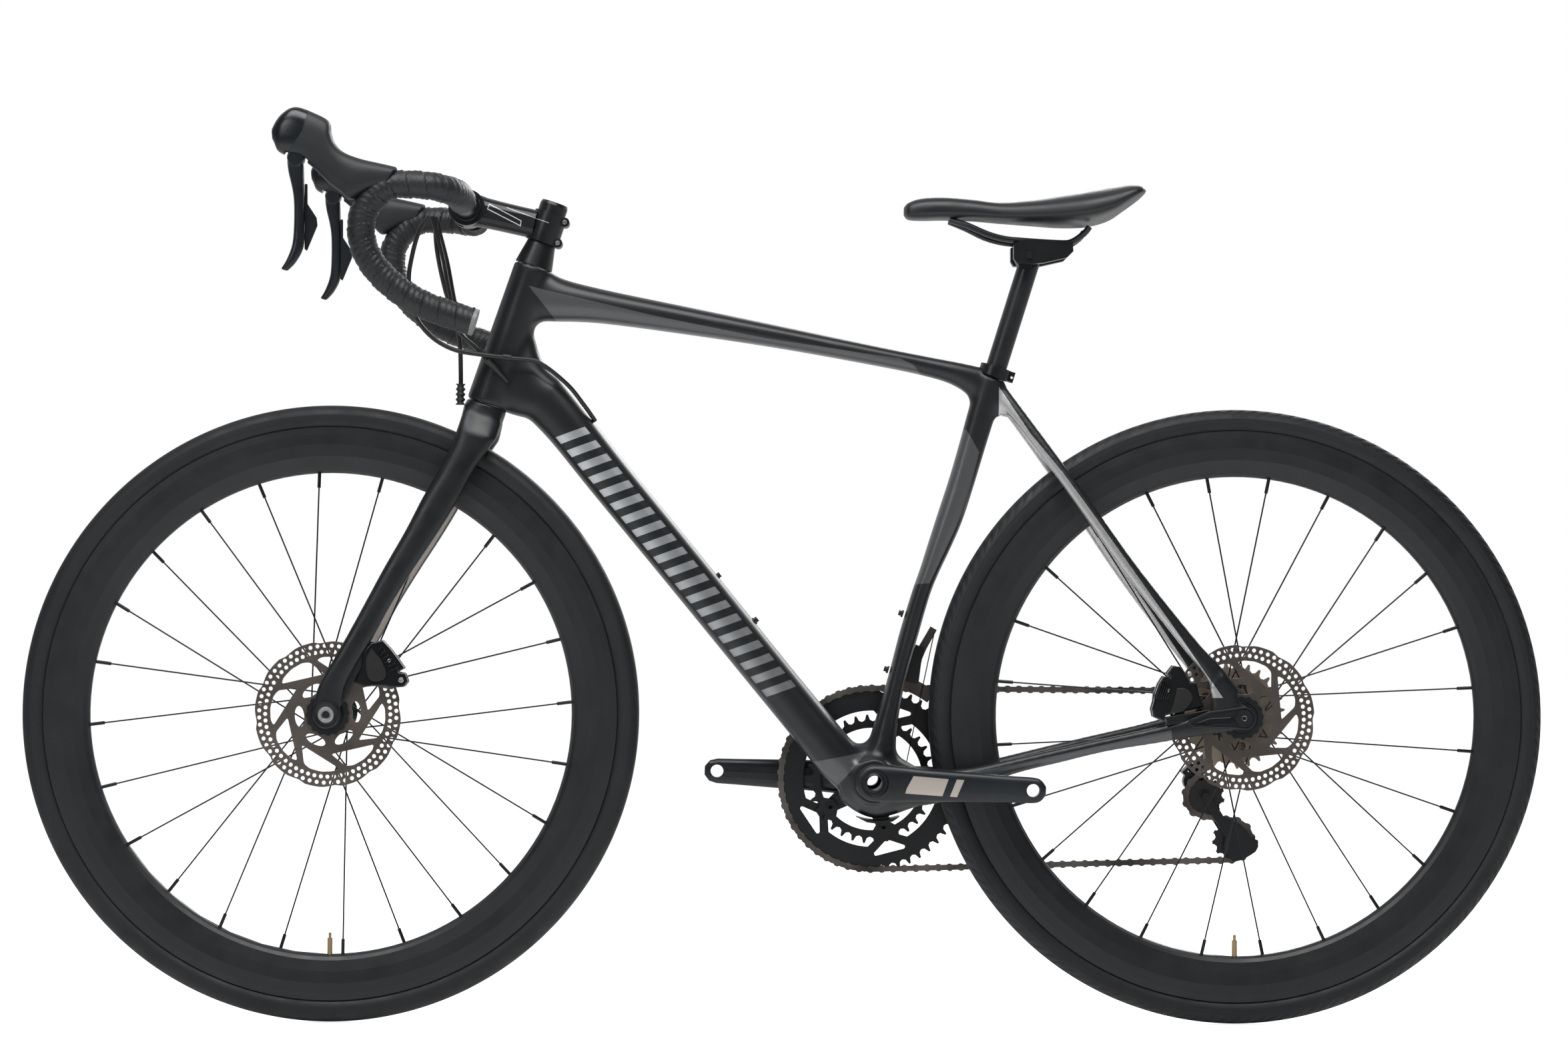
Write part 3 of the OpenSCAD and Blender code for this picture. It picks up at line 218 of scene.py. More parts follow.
def graphite_areas(n):
    """Panels of the satin graphite paint."""
    tip = n.inside([(-284, 812.5), (-187, 690), (160, 690), (160, 900), (-284, 900)])
    top_tube = n.both(tip, n.below(PANEL_TOP))
    seat_tube = n.inside([(140, 484), (160, 486), (200, 570), (214.7, 631.2), (200.3, 656.5), (180, 656),
                          (140, 500)])
    corner = n.inside([(32, 289), (56.4, 259.6), (92.1, 301)])
    run = n.inside([(175, 230), (432, 230), (420, 345), (175, 345)])
    chainstay = n.both(run, n.below(CHAINSTAY_TOP))
    return n.either(top_tube, seat_tube, corner, chainstay)


def block_row(n):
    """Row of plain slanted blocks along the down tube."""
    along = n.dot(n.place, Vector((0.634, 0.0, -0.773)))
    across = n.dot(n.place, Vector((0.773, 0.0, 0.634)))
    start = n.math("SUBTRACT", along, (-240 * 0.634 - 655 * 0.773) * MM)
    lean = n.math("ADD", start, n.math("MULTIPLY", n.math("SUBTRACT", across, 0.229), -0.35))
    step = n.math("FRACT", n.math("DIVIDE", lean, 0.0189))
    gap = n.math("ABSOLUTE", n.math("SUBTRACT", step, 0.5))
    blocks = n.ramp(gap, 0.255, 0.245)
    rows = n.ramp(n.math("ABSOLUTE", n.math("SUBTRACT", across, 0.2295)), 0.0165, 0.0160)
    length = n.both(n.ramp(lean, 0.0, 0.0003), n.ramp(lean, 0.3780, 0.3777))
    return n.both(blocks, rows, length), n.ramp(start, 0.0, 0.38)


def frame_paint():
    """Matte charcoal with graphite panels, silver seatstay faces and plain blocks on the down tube."""
    n = finish("frame_paint", grey(0.012, COOL), 0.36, 0.0, 1600.0, 0.06, 0.12)
    mask = graphite_areas(n)
    flake = n.ramp(n.noise(4200.0, 2.0), 0.4, 0.65)
    colour = n.mix(mask, colour_of(n), n.mix(flake, grey(0.08, PALE), grey(0.15, PALE)))
    stay = n.both(n.inside([(236, 362), (480, 362), (480, 716), (236, 716)]), n.below(STAY_EDGE))
    blocks, way = block_row(n)
    silver = n.mix(way, grey(0.62, PALE), grey(0.3, PALE))
    bright = n.either(stay, blocks)
    n.link(n.mix(bright, colour, n.mix(stay, silver, grey(0.55))), n.bsdf.inputs["Base Color"])
    metal = n.either(n.math("MULTIPLY", mask, 0.35), n.math("MULTIPLY", bright, 0.75))
    n.link(metal, n.bsdf.inputs["Metallic"])
    n.link(n.ramp(mask, 0.0, 1.0, 0.36, 0.30), n.bsdf.inputs["Roughness"])
    return n


def fork_paint():
    """Matte charcoal with silver on the inner faces of the blades."""
    n = finish("fork_paint", grey(0.012, COOL), 0.36, 0.0, 1600.0, 0.06, 0.12)
    normal = n.add("ShaderNodeSeparateXYZ")
    n.link(n.add("ShaderNodeTexCoord").outputs["Normal"], normal.inputs[0])
    inward = n.math("MULTIPLY", normal.outputs["Y"], n.math("SIGN", n.axes()["Y"]))
    blade = n.both(n.ramp(n.axes()["Z"], 0.41, 0.412), n.ramp(n.axes()["Z"], 0.632, 0.63))
    face = n.both(n.ramp(inward, -0.6, -0.75), blade)
    n.link(n.mix(face, colour_of(n), grey(0.4, WARM)), n.bsdf.inputs["Base Color"])
    return n


def hood_paint():
    """Matte rubber with a glossy cap at the front."""
    n = finish("hood_rubber", grey(0.013, COOL), 0.5, 0.0, 2600.0, 0.35, 0.2)
    cap = n.inside([(-545, 985), (-552, 958), (-536, 926), (-513.8, 959.4), (-508.5, 978), (-516, 996)])
    rim = n.inside([(-546, 986), (-553, 958), (-536, 924.5), (-512.6, 959.2), (-507.3, 978), (-515.5, 997)])
    n.link(n.ramp(cap, 0.0, 1.0, 0.5, 0.12), n.bsdf.inputs["Roughness"])
    seam = n.math("SUBTRACT", rim, cap)
    n.link(n.mix(seam, colour_of(n), grey(0.002)), n.bsdf.inputs["Base Color"])
    return n


def stem_paint():
    """Black alloy with a plain light outline and a line along each side."""
    n = finish("stem_paint", grey(0.012, COOL), 0.3, 0.1, 1300.0, 0.08, 0.2, 0.5)
    outline = n.math("SUBTRACT", n.inside([(-330.5, 896.9), (-292.9, 877.9), (-292, 884.7),
                                           (-328.2, 903.7)]),
                     n.inside([(-329.6, 897.6), (-293.6, 879.4), (-292.9, 884.1), (-327.7, 902.4)]))
    line = n.inside([(-309, 899.6), (-309, 898.9), (-262, 881.7), (-262, 882.4)], 0.0001)
    n.link(n.mix(n.either(outline, line), colour_of(n), grey(0.6)), n.bsdf.inputs["Base Color"])
    return n


def crank_paint():
    """Anthracite with two plain slanted light blocks."""
    n = finish("crank_paint", grey(0.022, COOL), 0.34, 0.3, 1300.0, 0.06, 0.2, 0.6)
    long_block = n.inside([(133, 262), (130, 256.5), (172, 253.5), (179, 272.5), (137, 276)])
    short_block = n.inside([(180, 253.2), (188, 252.6), (196, 271.6), (187.5, 272.2)])
    outward = n.ramp(n.axes()["Y"], -0.0625, -0.0629)
    mask = n.both(n.either(long_block, short_block), outward)
    n.link(n.mix(mask, colour_of(n), grey(0.5, WARM)), n.bsdf.inputs["Base Color"])
    return n


def weave_paint(name, value, rough):
    """Clear-coated carbon with a faint twill."""
    n = finish(name, grey(value, COOL), rough, 0.0, 1400.0, 0.05, 0.1)
    wave = n.add("ShaderNodeTexWave", bands_direction="DIAGONAL")
    wave.inputs["Scale"].default_value = 380.0
    n.link(n.place, wave.inputs["Vector"])
    n.link(n.mix(n.math("MULTIPLY", wave.outputs["Fac"], 0.2), colour_of(n), grey(value * 2.0)),
           n.bsdf.inputs["Base Color"])
    return n


MATERIALS = {
    "carbon_frame": frame_paint,
    "fork_carbon": fork_paint,
    "carbon_post": lambda: weave_paint("carbon_post", 0.012, 0.36),
    "carbon_rim": lambda: weave_paint("rim_carbon", 0.012, 0.42),
    "rubber": lambda: finish("tyre_rubber", grey(0.009, COOL), 0.6, 0.0, 1500.0, 0.25, 0.2),
    "hood_rubber": hood_paint,
    "stem_alloy": stem_paint,
    "crank_alloy": crank_paint,
    "steel": lambda: finish("rotor_steel", DARK_STEEL, 0.4, 0.55, 600.0, 0.1, 0.25),
    "gloss_black": lambda: finish("gloss_black", grey(0.008, COOL), 0.14, 0.0, 1100.0, 0.06, 0.2),
    "bearing_steel": lambda: finish("bearing_steel", grey(0.35), 0.3, 0.9, corner=0.3),
    "black_alloy": lambda: finish("black_alloy", grey(0.010, COOL), 0.32, 0.1, 1300.0, 0.1, 0.25, 0.5),
    "grey_alloy": lambda: finish("grey_alloy", grey(0.02, COOL), 0.3, 0.3, 1300.0, 0.08, 0.2, 0.5),
    "silver_alloy": lambda: finish("silver_alloy", grey(0.6), 0.28, 0.9, 900.0, 0.08, 0.1, 0.3),
    "spoke_black": lambda: finish("spoke_black", grey(0.012, COOL), 0.32, 0.4, 900.0, 0.05, 0.2),
    "tape": lambda: finish("bar_tape", grey(0.012, COOL), 0.45, 0.0, 700.0, 0.6, 0.3, size=0.0006),
    "saddle_skin": lambda: finish("saddle_skin", grey(0.012, COOL), 0.4, 0.0, 1500.0, 0.3, 0.2, size=0.0003),
    "plastic": lambda: finish("black_plastic", grey(0.012), 0.42, 0.0, 800.0, 0.12, 0.2, 0.4),
    "chain_steel": lambda: finish("chain_steel", grey(0.11, WARM), 0.38, 0.6, 700.0, 0.2, 0.5, 0.25),
    "cassette_steel": lambda: finish("cassette_steel", BRONZE, 0.36, 0.7, 700.0, 0.12, 0.35, 0.2),
    "brass": lambda: finish("valve_brass", BRASS, 0.35, 0.9),
    "light_plastic": lambda: finish("light_plastic", grey(0.2), 0.4, corner=0.8),
    "friction": lambda: finish("pad_material", grey(0.15, WARM), 0.8, 0.0, 400.0, 0.5, 0.4),
    "hose": lambda: finish("hose", grey(0.012), 0.35, 0.0, 1500.0, 0.15, 0.2),
}
_made = {}


def material(slot):
    if slot not in _made:
        _made[slot] = MATERIALS[slot]().mat
    return _made[slot]


# ---------- mesh tools ----------

def put(name, verts, faces, body, slot, replaces=()):
    """A mesh piece from points in millimetres."""
    mesh = bpy.data.meshes.new(name)
    mesh.from_pydata([Vector(v) * MM for v in verts], [], faces)
    mesh.validate()
    obj = bpy.data.objects.new(name, mesh)
    bpy.context.scene.collection.objects.link(obj)
    settle(obj, body, slot, replaces)
    return obj


def settle(obj, body, slot, replaces=(), angle=40.0):
    """Outward faces, material, shading and the body the piece rides on."""
    bm = bmesh.new()
    bm.from_mesh(obj.data)
    bmesh.ops.recalc_face_normals(bm, faces=bm.faces)
    bm.to_mesh(obj.data)
    bm.free()
    obj.data.materials.clear()
    obj.data.materials.append(material(slot))
    obj.data.shade_smooth()
    obj.data.set_sharp_from_angle(angle=math.radians(angle))
    if body:
        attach(obj, body)
    if replaces:
        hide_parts(*replaces)


def both_sides(verts, faces):
    """The same points and their mirror image across the centre plane."""
    n = len(verts)
    other = [(x, -y, z) for x, y, z in verts]
    return list(verts) + other, list(faces) + [tuple(i + n for i in reversed(f)) for f in faces]


def join_parts(parts):
    verts, faces = [], []
    for v, f in parts:
        base = len(verts)
        verts += v
        faces += [tuple(i + base for i in face) for face in f]
    return verts, faces


def blend_points(p, k):
    """Smooth curve through number tuples of any length, k steps a span."""
    out = []
    for i in range(len(p) - 1):
        a, b, c, d = p[max(i - 1, 0)], p[i], p[i + 1], p[min(i + 2, len(p) - 1)]
        for j in range(k):
            t = j / k
            out.append(tuple(
                0.5 * (2 * b0 + (c0 - a0) * t + (2 * a0 - 5 * b0 + 4 * c0 - d0) * t * t
                       + (3 * b0 - a0 - 3 * c0 + d0) * t ** 3)
                for a0, b0, c0, d0 in zip(a, b, c, d)))
    out.append(tuple(p[-1]))
    return out


def power(v, e):
    return math.copysign(abs(v) ** (2.0 / e), v)


def skin(rings):
    """Quads between closed rings of equal size, with flat ends."""
    n = len(rings[0])
    verts = [p for ring in rings for p in ring]
    faces = [(j * n + i, j * n + (i + 1) % n, (j + 1) * n + (i + 1) % n, (j + 1) * n + i)
             for j in range(len(rings) - 1) for i in range(n)]
    faces += [tuple(reversed(range(n))), tuple(range((len(rings) - 1) * n, len(rings) * n))]
    return verts, faces


def loft(stations, e=2.4, n=40, k=5):
    """Skin over superellipse sections: x, y, z, tilt in degrees, half height, half width."""
    rings = []
    for x, y, z, tilt, h, w in blend_points(stations, k):
        c, s = math.cos(math.radians(tilt)), math.sin(math.radians(tilt))
        ring = []
        for i in range(n):
            t = 2 * math.pi * i / n
            a, b = h * power(math.cos(t), e), w * power(math.sin(t), e)
            ring.append((x + a * c, y + b, z + a * s))
        rings.append(ring)
    return skin(rings)


def edged(rows):
    """Stations from two edge points in the side view: x1, z1, x2, z2, y, half width."""
    out = []
    for a, b, c, d, y, w in rows:
        tilt = math.degrees(math.atan2(b - d, a - c))
        if out:
            tilt += 360 * round((out[-1][3] - tilt) / 360)
        out.append(((a + c) / 2, y, (b + d) / 2, tilt, math.hypot(a - c, b - d) / 2, w))
    return out


def tube_rings(path, radius, n=16, up=(0.0, 1.0, 0.0)):
    """Round sections across a path; radius is a number or a function of the step and angle."""
    pts = [Vector(p) for p in path]
    rings = []
    for i, p in enumerate(pts):
        t = (pts[min(i + 1, len(pts) - 1)] - pts[max(i - 1, 0)]).normalized()
        u = Vector(up).cross(t).normalized()
        v = u.cross(t)
        ring = []
        for j in range(n):
            a = 2 * math.pi * j / n
            r = radius(i, a) if callable(radius) else radius
            ring.append(tuple(p + (u * math.cos(a) + v * math.sin(a)) * r))
        rings.append(ring)
    return rings


def sweep(path, radius, n=16, up=(0.0, 1.0, 0.0)):
    return skin(tube_rings(path, radius, n, up))


def turned(cx, cz, profile, n=128):
    """Closed ring from a profile of (radius, y) points, turned about the wheel axis."""
    rings = []
    for j in range(n):
        a = 2 * math.pi * j / n
        rings.append([(cx + r * math.cos(a), y, cz + r * math.sin(a)) for r, y in profile])
    m = len(profile)
    verts = [p for ring in rings for p in ring]
    faces = [(j * m + i, j * m + (i + 1) % m, ((j + 1) % n) * m + (i + 1) % m, ((j + 1) % n) * m + i)
             for j in range(n) for i in range(m)]
    return verts, faces


def cylinder(a, b, r, n=48, r2=None):
    """Solid round bar between two points."""
    a, b = Vector(a), Vector(b)
    t = (b - a).normalized()
    u = t.orthogonal().normalized()
    v = t.cross(u)
    r2 = r if r2 is None else r2
    rings = [[tuple(p + (u * math.cos(2 * math.pi * i / n) + v * math.sin(2 * math.pi * i / n)) * q)
              for i in range(n)] for p, q in ((a, r), (b, r2))]
    return skin(rings)


def prism(outline, y0, y1):
    """Flat plate in the side plane."""
    m = len(outline)
    verts = [(x, y, z) for y in (y0, y1) for x, z in outline]
    faces = [(i, (i + 1) % m, m + (i + 1) % m, m + i) for i in range(m)]
    return verts, faces + [tuple(reversed(range(m))), tuple(range(m, 2 * m))]


def bare(name, part):
    """A mesh object that is only a step on the way to a piece."""
    mesh = bpy.data.meshes.new(name)
    mesh.from_pydata([Vector(v) * MM for v in part[0]], [], part[1])
    obj = bpy.data.objects.new(name, mesh)
    bpy.context.scene.collection.objects.link(obj)
    bm = bmesh.new()
    bm.from_mesh(mesh)
    bmesh.ops.recalc_face_normals(bm, faces=bm.faces)
    bm.to_mesh(mesh)
    bm.free()
    return obj


def apply_all(obj):
    """Turns the modified shape into the object's own mesh."""
    graph = bpy.context.evaluated_depsgraph_get()
    mesh = bpy.data.meshes.new_from_object(obj.evaluated_get(graph))
    obj.modifiers.clear()
    obj.data = mesh


def grow(obj, voxel, distance):
    """Moves the skin outward by a distance in millimetres and rebuilds it on a grid."""
    if distance:
        offset = obj.modifiers.new("offset", "DISPLACE")
        offset.mid_level = 0.0
        offset.strength = distance * MM
    remesh = obj.modifiers.new("remesh", "REMESH")
    remesh.mode = "VOXEL"
    remesh.voxel_size = voxel * MM


def fuse(name, parts, voxel, fillet, rounds, body, slot, replaces=(), cuts=()):
    """One skin over overlapping closed parts, with filleted inner corners, then drilled."""
    obj = bare(name, join_parts(parts))
    for distance in (0.0, fillet, -fillet) if fillet else (0.0,):
        grow(obj, voxel, distance)
    smooth = obj.modifiers.new("smooth", "SMOOTH")
    smooth.factor = 0.5
    smooth.iterations = rounds
    apply_all(obj)
    for i, cut in enumerate(cuts):
        tool = bare(f"{name}_cut{i}", cut)
        drill = obj.modifiers.new("drill", "BOOLEAN")
        drill.operation = "DIFFERENCE"
        drill.solver = "EXACT"
        drill.object = tool
        apply_all(obj)
        bpy.data.objects.remove(tool)
    settle(obj, body, slot, replaces, angle=50.0)
    return obj


def on_steer(t):
    """Point on the steering axis, t millimetres above its foot."""
    return (-448.7 + math.cos(HEAD_ANGLE) * t, 0.0, 323.0 + math.sin(HEAD_ANGLE) * t)


def on_post(s):
    return (234.0 + math.cos(POST_ANGLE) * s, 0.0, 725.6 + math.sin(POST_ANGLE) * s)


# ---------- frame ----------

HEAD_BLEND = [(-281, 767, -338, 700, 0, 16), (-276.5, 752, -330, 684, 0, 18), (-272, 737, -318, 677, 0, 20),
              (-263.5, 722, -302, 671, 0, 22), (-249.3, 710.5, -283.7, 666.5, 0, 24)]
DOWN_TUBE = [(-266.5, 0, 688.5, 52, 27.9, 24), (-240, 0, 658.5, 44, 25.9, 25),
             (-193.5, 0, 600, 39.3, 24.9, 25), (-111, 0, 500, 39.3, 24.5, 25.5),
             (-13, 0, 380, 39.3, 23.9, 28), (36.6, 0, 320, 39.3, 24.2, 32), (62, 0, 289, 39, 25, 34),
             (84, 0, 268, 39, 22, 33)]
TOP_TUBE = [(-262, 832, -289, 776, 0, 17), (-246, 821.5, -262, 774.4, 0, 19),
            (-200, 809.7, -206, 772.6, 0, 20), (-100, 789.5, -104, 759.8, 0, 18.5),
            (0, 769.4, -4, 745.2, 0, 17), (100, 749.2, 96, 727.7, 0, 15.5), (158, 738, 154, 716, 0, 14.5),
            (196, 731, 188, 705, 0, 14), (232, 723, 214, 686, 0, 12)]
SEAT_TUBE = [(86, 0, 276, -17, 20, 31), (106, 0, 300, -17, 17, 28), (113, 0, 330, -17.3, 12.8, 24),
             (124.6, 0, 380, -17.3, 9.8, 20), (138, 0, 430, -17.3, 10.3, 18),
             (151.3, 0, 475, -17.3, 10, 17), (160.5, 0, 500, -17.3, 10.6, 16.5),
             (171, 0, 527, -17.3, 12.6, 16.5), (183.3, 0, 560, -17.3, 14.3, 16.5),
             (196.2, 0, 600, -17.3, 14.3, 16), (207.9, 0, 640, -17.3, 14.6, 15.5),
             (219.5, 0, 680, -17.3, 15.3, 15.5), (230.4, 0, 714, -17.3, 14.8, 15.5)]
BB_BULGE = [(66, 300, 62, 246, 0, 31), (86, 306, 80, 233, 0, 33), (104, 306, 100, 226, 0, 34),
            (122, 297, 120, 229.5, 0, 33), (138, 288, 140, 236.5, 0, 31), (150, 281, 158, 243, 0, 29)]
SEATSTAY = [(236, -7, 701, 36, 9, 6), (256, -15, 674, 36.4, 8.4, 6.5), (293.7, -29, 622.9, 36.4, 7.7, 6),
            (340, -42, 557, 36.4, 7.9, 6), (383.5, -53, 495.2, 36.4, 8.1, 6),
            (443, -65, 418.8, 36.4, 8.8, 5.5), (466.6, -69.5, 391.3, 34, 10.4, 5),
            (484, -73, 364, 20, 14, 4)]
CHAINSTAY = [(136, 284, 134, 240, -22, 8), (165, 282.5, 166, 243, -27, 8), (200, 283, 204, 258, -31, 7.6),
             (250, 294, 253, 277, -40, 7), (300, 306, 303, 290, -47, 6.6),
             (350, 317.5, 353, 302.5, -54, 6), (400, 329, 403, 311, -60, 5.6),
             (440, 340, 443, 318, -66, 5.2), (470, 349, 474, 323, -71.5, 4.2),
             (496, 353, 498, 327, -74.2, 3.6)]


def main_frame():
    stay = loft(SEATSTAY)
    chainstay = loft(edged(CHAINSTAY))
    dropout = cylinder((REAR_X, -78, AXLE_Z), (REAR_X, -71, AXLE_Z), 13)
    web = prism([(468, 346), (500, 350), (478, 388), (463, 374)], -77, -70)
    parts = [
        loft(edged(HEAD_BLEND)), loft(DOWN_TUBE), loft(edged(TOP_TUBE)), loft(SEAT_TUBE),
        loft(edged(BB_BULGE)),
        cylinder(on_steer(HEAD_FOOT), on_steer(HEAD_TOP), 23.4, 64, 21.4),
        cylinder((BB_X, -SHELL_HALF, BB_Z), (BB_X, SHELL_HALF, BB_Z), SHELL_R),
        both_sides(*stay), both_sides(*chainstay), both_sides(*dropout), both_sides(*web),
    ]
    cuts = [
        cylinder(on_steer(360), on_steer(560), HEADSET_R),
        cylinder(on_steer(HEAD_TOP + 0.1), on_steer(560), 40),
        cylinder(on_post(-0.2), on_post(30), 40),
        cylinder((BB_X, -60, BB_Z), (BB_X, 60, BB_Z), SHELL_BORE),
        cylinder((REAR_X, -90, AXLE_Z), (REAR_X, 90, AXLE_Z), AXLE_BORE),
        cylinder(on_post(-60), on_post(20), POST_R + 0.1),
    ]
    fuse("frame_skin", parts, 2.0, 10.0, 5, "frame", "carbon_frame", ["frame_shell"], cuts)


FORK_CROWN = [(-355, 683, -311, 668.5, 0, 23), (-358.5, 667, -315, 655, 0, 26),
              (-362, 655, -322, 642, 0, 30), (-362, 651, -326, 641, 0, 30)]
FORK_BLADE = [(-355, 676, -313, 662, -15, 9), (-361, 655, -317.5, 645, -25, 10),
              (-367, 637, -321.5, 638, -28, 9.5), (-383, 604, -343, 606, -33, 9),
              (-399, 576, -360, 573, -37, 8.6), (-416, 542, -381, 538, -41, 8),
              (-440, 499, -407, 498, -45, 7.4), (-461, 459, -431, 459, -48.5, 6.8),
              (-477, 429, -448, 427, -51, 6.3), (-493, 400, -467, 396, -53.5, 5.8),
              (-509, 371, -479, 374, -55, 5.2), (-514, 350, -484, 350, -55.4, 4.8)]


def front_fork():
    blade = loft(edged(FORK_BLADE))
    tip = cylinder((FRONT_X, -60, AXLE_Z), (FRONT_X, -50.2, AXLE_Z), 15.5)
    parts = [loft(edged(FORK_CROWN)), both_sides(*blade), both_sides(*tip),
             cylinder(on_steer(368), on_steer(377.6), 22.8)]
    # the arch over the tyre is a wheel shape with a rounded rim
    arch = turned(FRONT_X, AXLE_Z, [(300, -18.2), (338, -18.2), (343.5, -16), (346.2, -11), (346.8, 0),
                                    (346.2, 11), (343.5, 16), (338, 18.2), (300, 18.2)], 160)
    cuts = [arch, cylinder((FRONT_X, -90, AXLE_Z), (FRONT_X, 90, AXLE_Z), AXLE_BORE)]
    fuse("fork_skin", parts, 1.4, 5.0, 5, "steering", "fork_carbon", ["fork"], cuts)
    put("steerer", *cylinder(on_steer(377), on_steer(609.9), STEERER_R, 64), "steering", "carbon_post")


# ---------- saddle ----------

SADDLE = [(131, 903, 894, 9), (136, 908, 889.5, 17), (150, 912.5, 888.5, 20), (175, 914, 889, 21.5),
          (205, 912, 888.5, 24), (240, 908.5, 886, 30), (275, 911, 884, 41), (305, 915, 882.5, 53),
          (335, 920, 884, 64), (360, 924.5, 891, 70), (378, 927, 903, 71), (389, 926, 911, 66),
          (394, 921, 915, 55)]


def saddle_rings(n=64, k=6):
    """Crowned padding over the shell: x, top, lower edge, half width."""
    rings = []
    for x, top, low, w in blend_points(SADDLE, k):
        mid = low + 0.35 * (top - low)
        ring = []
        for i in range(n):
            t = 2 * math.pi * i / n
            c, s = math.cos(t), math.sin(t)
            y = w * math.copysign(abs(c) ** 0.62, c)
            z = mid + (top - mid) * s ** 0.8 if s > 0 else mid + (mid - low) * s * 0.98
            ring.append((x, y, z))
        rings.append(ring)
    return rings


def saddle():
    put("saddle_padding", *skin(saddle_rings()), "seat", "saddle_skin", ["saddle_cover", "saddle_base"])


# ---------- handlebar, tape and levers ----------

BAR_TOP = [(BAR_X, 0, BAR_Z), (BAR_X, -60, BAR_Z), (BAR_X, -120, BAR_Z), (BAR_X - 1, -158, BAR_Z + 0.5),
           (BAR_X - 9, -182, BAR_Z + 2), (BAR_X - 26, -194, BAR_Z + 5)]
BAR_DROP = [(-400, -BAR_HALF + 2, 905), (-421, -BAR_HALF, 903.5), (-438, -BAR_HALF, 892),
            (-450, -BAR_HALF, 874), (-452, -BAR_HALF, 852), (-446, -BAR_HALF, 831),
            (-432, -BAR_HALF, 811), (-412, -BAR_HALF, 793), (-387, -BAR_HALF, 778),
            (-360, -BAR_HALF, 768), (-335, -BAR_HALF, 760)]
BAR_UP = (0.35, 0.6, 0.7)
WRAP = 19.0


def even_path(path, step):
    """The same path with points step millimetres apart."""
    pts = [Vector(p) for p in path]
    out, walked, need = [pts[0]], 0.0, step
    for a, b in zip(pts, pts[1:]):
        span = (b - a).length
        while walked + span >= need:
            out.append(a.lerp(b, (need - walked) / span))
            need += step
        walked += span
    return out


def bar_path():
    return blend_points(BAR_TOP + BAR_DROP, 12)


def tape():
    """Tape wound in overlapping turns, each with a raised edge and pressed rings."""
    path = even_path(bar_path(), 1.0)
    path = path[100:]

    def radius(i, a):
        turn = (i / WRAP + a / (2 * math.pi)) % 1.0
        lip = 0.9 * (1.0 - turn) - 0.55 * math.exp(-((turn - 0.97) / 0.03) ** 2)
        rings = 0.22 * math.cos(2 * math.pi * 3 * turn)
        return TAPE_R - 0.75 + lip + rings

    outer = sweep(path, radius, 56, BAR_UP)
    put("bar_tape_wrap", *both_sides(*outer), "steering", "tape", ["bar_tape"])
    bar = both_sides(*sweep(even_path(bar_path(), 6.0)[:22], 12.2, 40, BAR_UP))
    centre = cylinder((BAR_X, -34, BAR_Z), (BAR_X, 34, BAR_Z), 15.9, 64)
    put("handlebar_tube", *join_parts([bar, centre]), "steering", "black_alloy", ["handlebar"])


HOOD = [(-414, 922.5, -427, 903, 15), (-436, 927.5, -444, 897, 15.5), (-455, 932, -463, 888, 16.5),
        (-471, 938.5, -474, 896, 16), (-480, 948, -486, 905, 16), (-484, 959, -497, 916, 16),
        (-486.5, 971, -507, 925, 15.5), (-503, 980, -518, 933, 15), (-522, 986, -530, 934, 14),
        (-536, 979, -541, 940, 11.5), (-547, 962, -546, 951, 6)]
LEVER_PIVOT = (-521.0, 932.0)


def hoods():
    shell = loft(edged([(a, b, c, d, -BAR_HALF, w) for a, b, c, d, w in HOOD]), 2.7, 48, 6)
    x, z = LEVER_PIVOT
    pocket = cylinder((x, -BAR_HALF - 9.6, z), (x, -BAR_HALF + 9.6, z), 13.5)
    for side, name in ((1, "left"), (-1, "right")):
        flip = [([(a, side * b, c) for a, b, c in part[0]], part[1]) for part in (shell, pocket)]
        fuse(f"hood_{name}", [flip[0]], 1.2, 0.0, 3, "steering", "hood_rubber", ["lever_bodies"], [flip[1]])


LEVER = [(-530.5, 929, -513, 925, 0, 8.8), (-529, 917, -512.6, 913, 0, 8.6),
         (-525, 900, -512.2, 898, 0, 8.2), (-523, 885, -512, 885, 0, 7.8),
         (-522.8, 860, -511.9, 860, -1, 7.4), (-524.4, 840, -512.4, 838, -2.5, 7),
         (-530, 824, -519.8, 822, -4, 6.2), (-536, 814, -529, 812, -5, 4.2)]


def levers():
    x, z = LEVER_PIVOT
    blade = loft(edged([(a, b, c, d, y - BAR_HALF, w) for a, b, c, d, y, w in LEVER]), 2.8, 36, 6)
    head = cylinder((x, -BAR_HALF - 9.2, z), (x, -BAR_HALF + 9.2, z), 9)
    for side, name in ((1, "left"), (-1, "right")):
        parts = [([(a, side * b, c) for a, b, c in part[0]], part[1]) for part in (blade, head)]
        fuse(f"lever_blade_{name}", parts, 0.8, 3.0, 2, f"lever_{name}", "grey_alloy",
             [f"brake_lever_{name}"])


PADDLE = [(-512.2, 905), (-509.3, 905), (-509.1, 884), (-499.5, 869.5), (-498.5, 861), (-509.5, 834),
          (-512, 836)]


def paddles():
    """Shift paddles: a stiff leaf behind each brake lever."""
    for side, name in ((-1, "left"), (1, "right")):
        near, far = side * (BAR_HALF - 5.5), side * (BAR_HALF - 2)
        flat_piece(f"paddle_leaf_{name}", [rounded(PADDLE, 1.0)], min(near, far), max(near, far),
                   f"paddle_{name}", "grey_alloy", 0.5, [f"shift_{name}"])


# ---------- wheels ----------

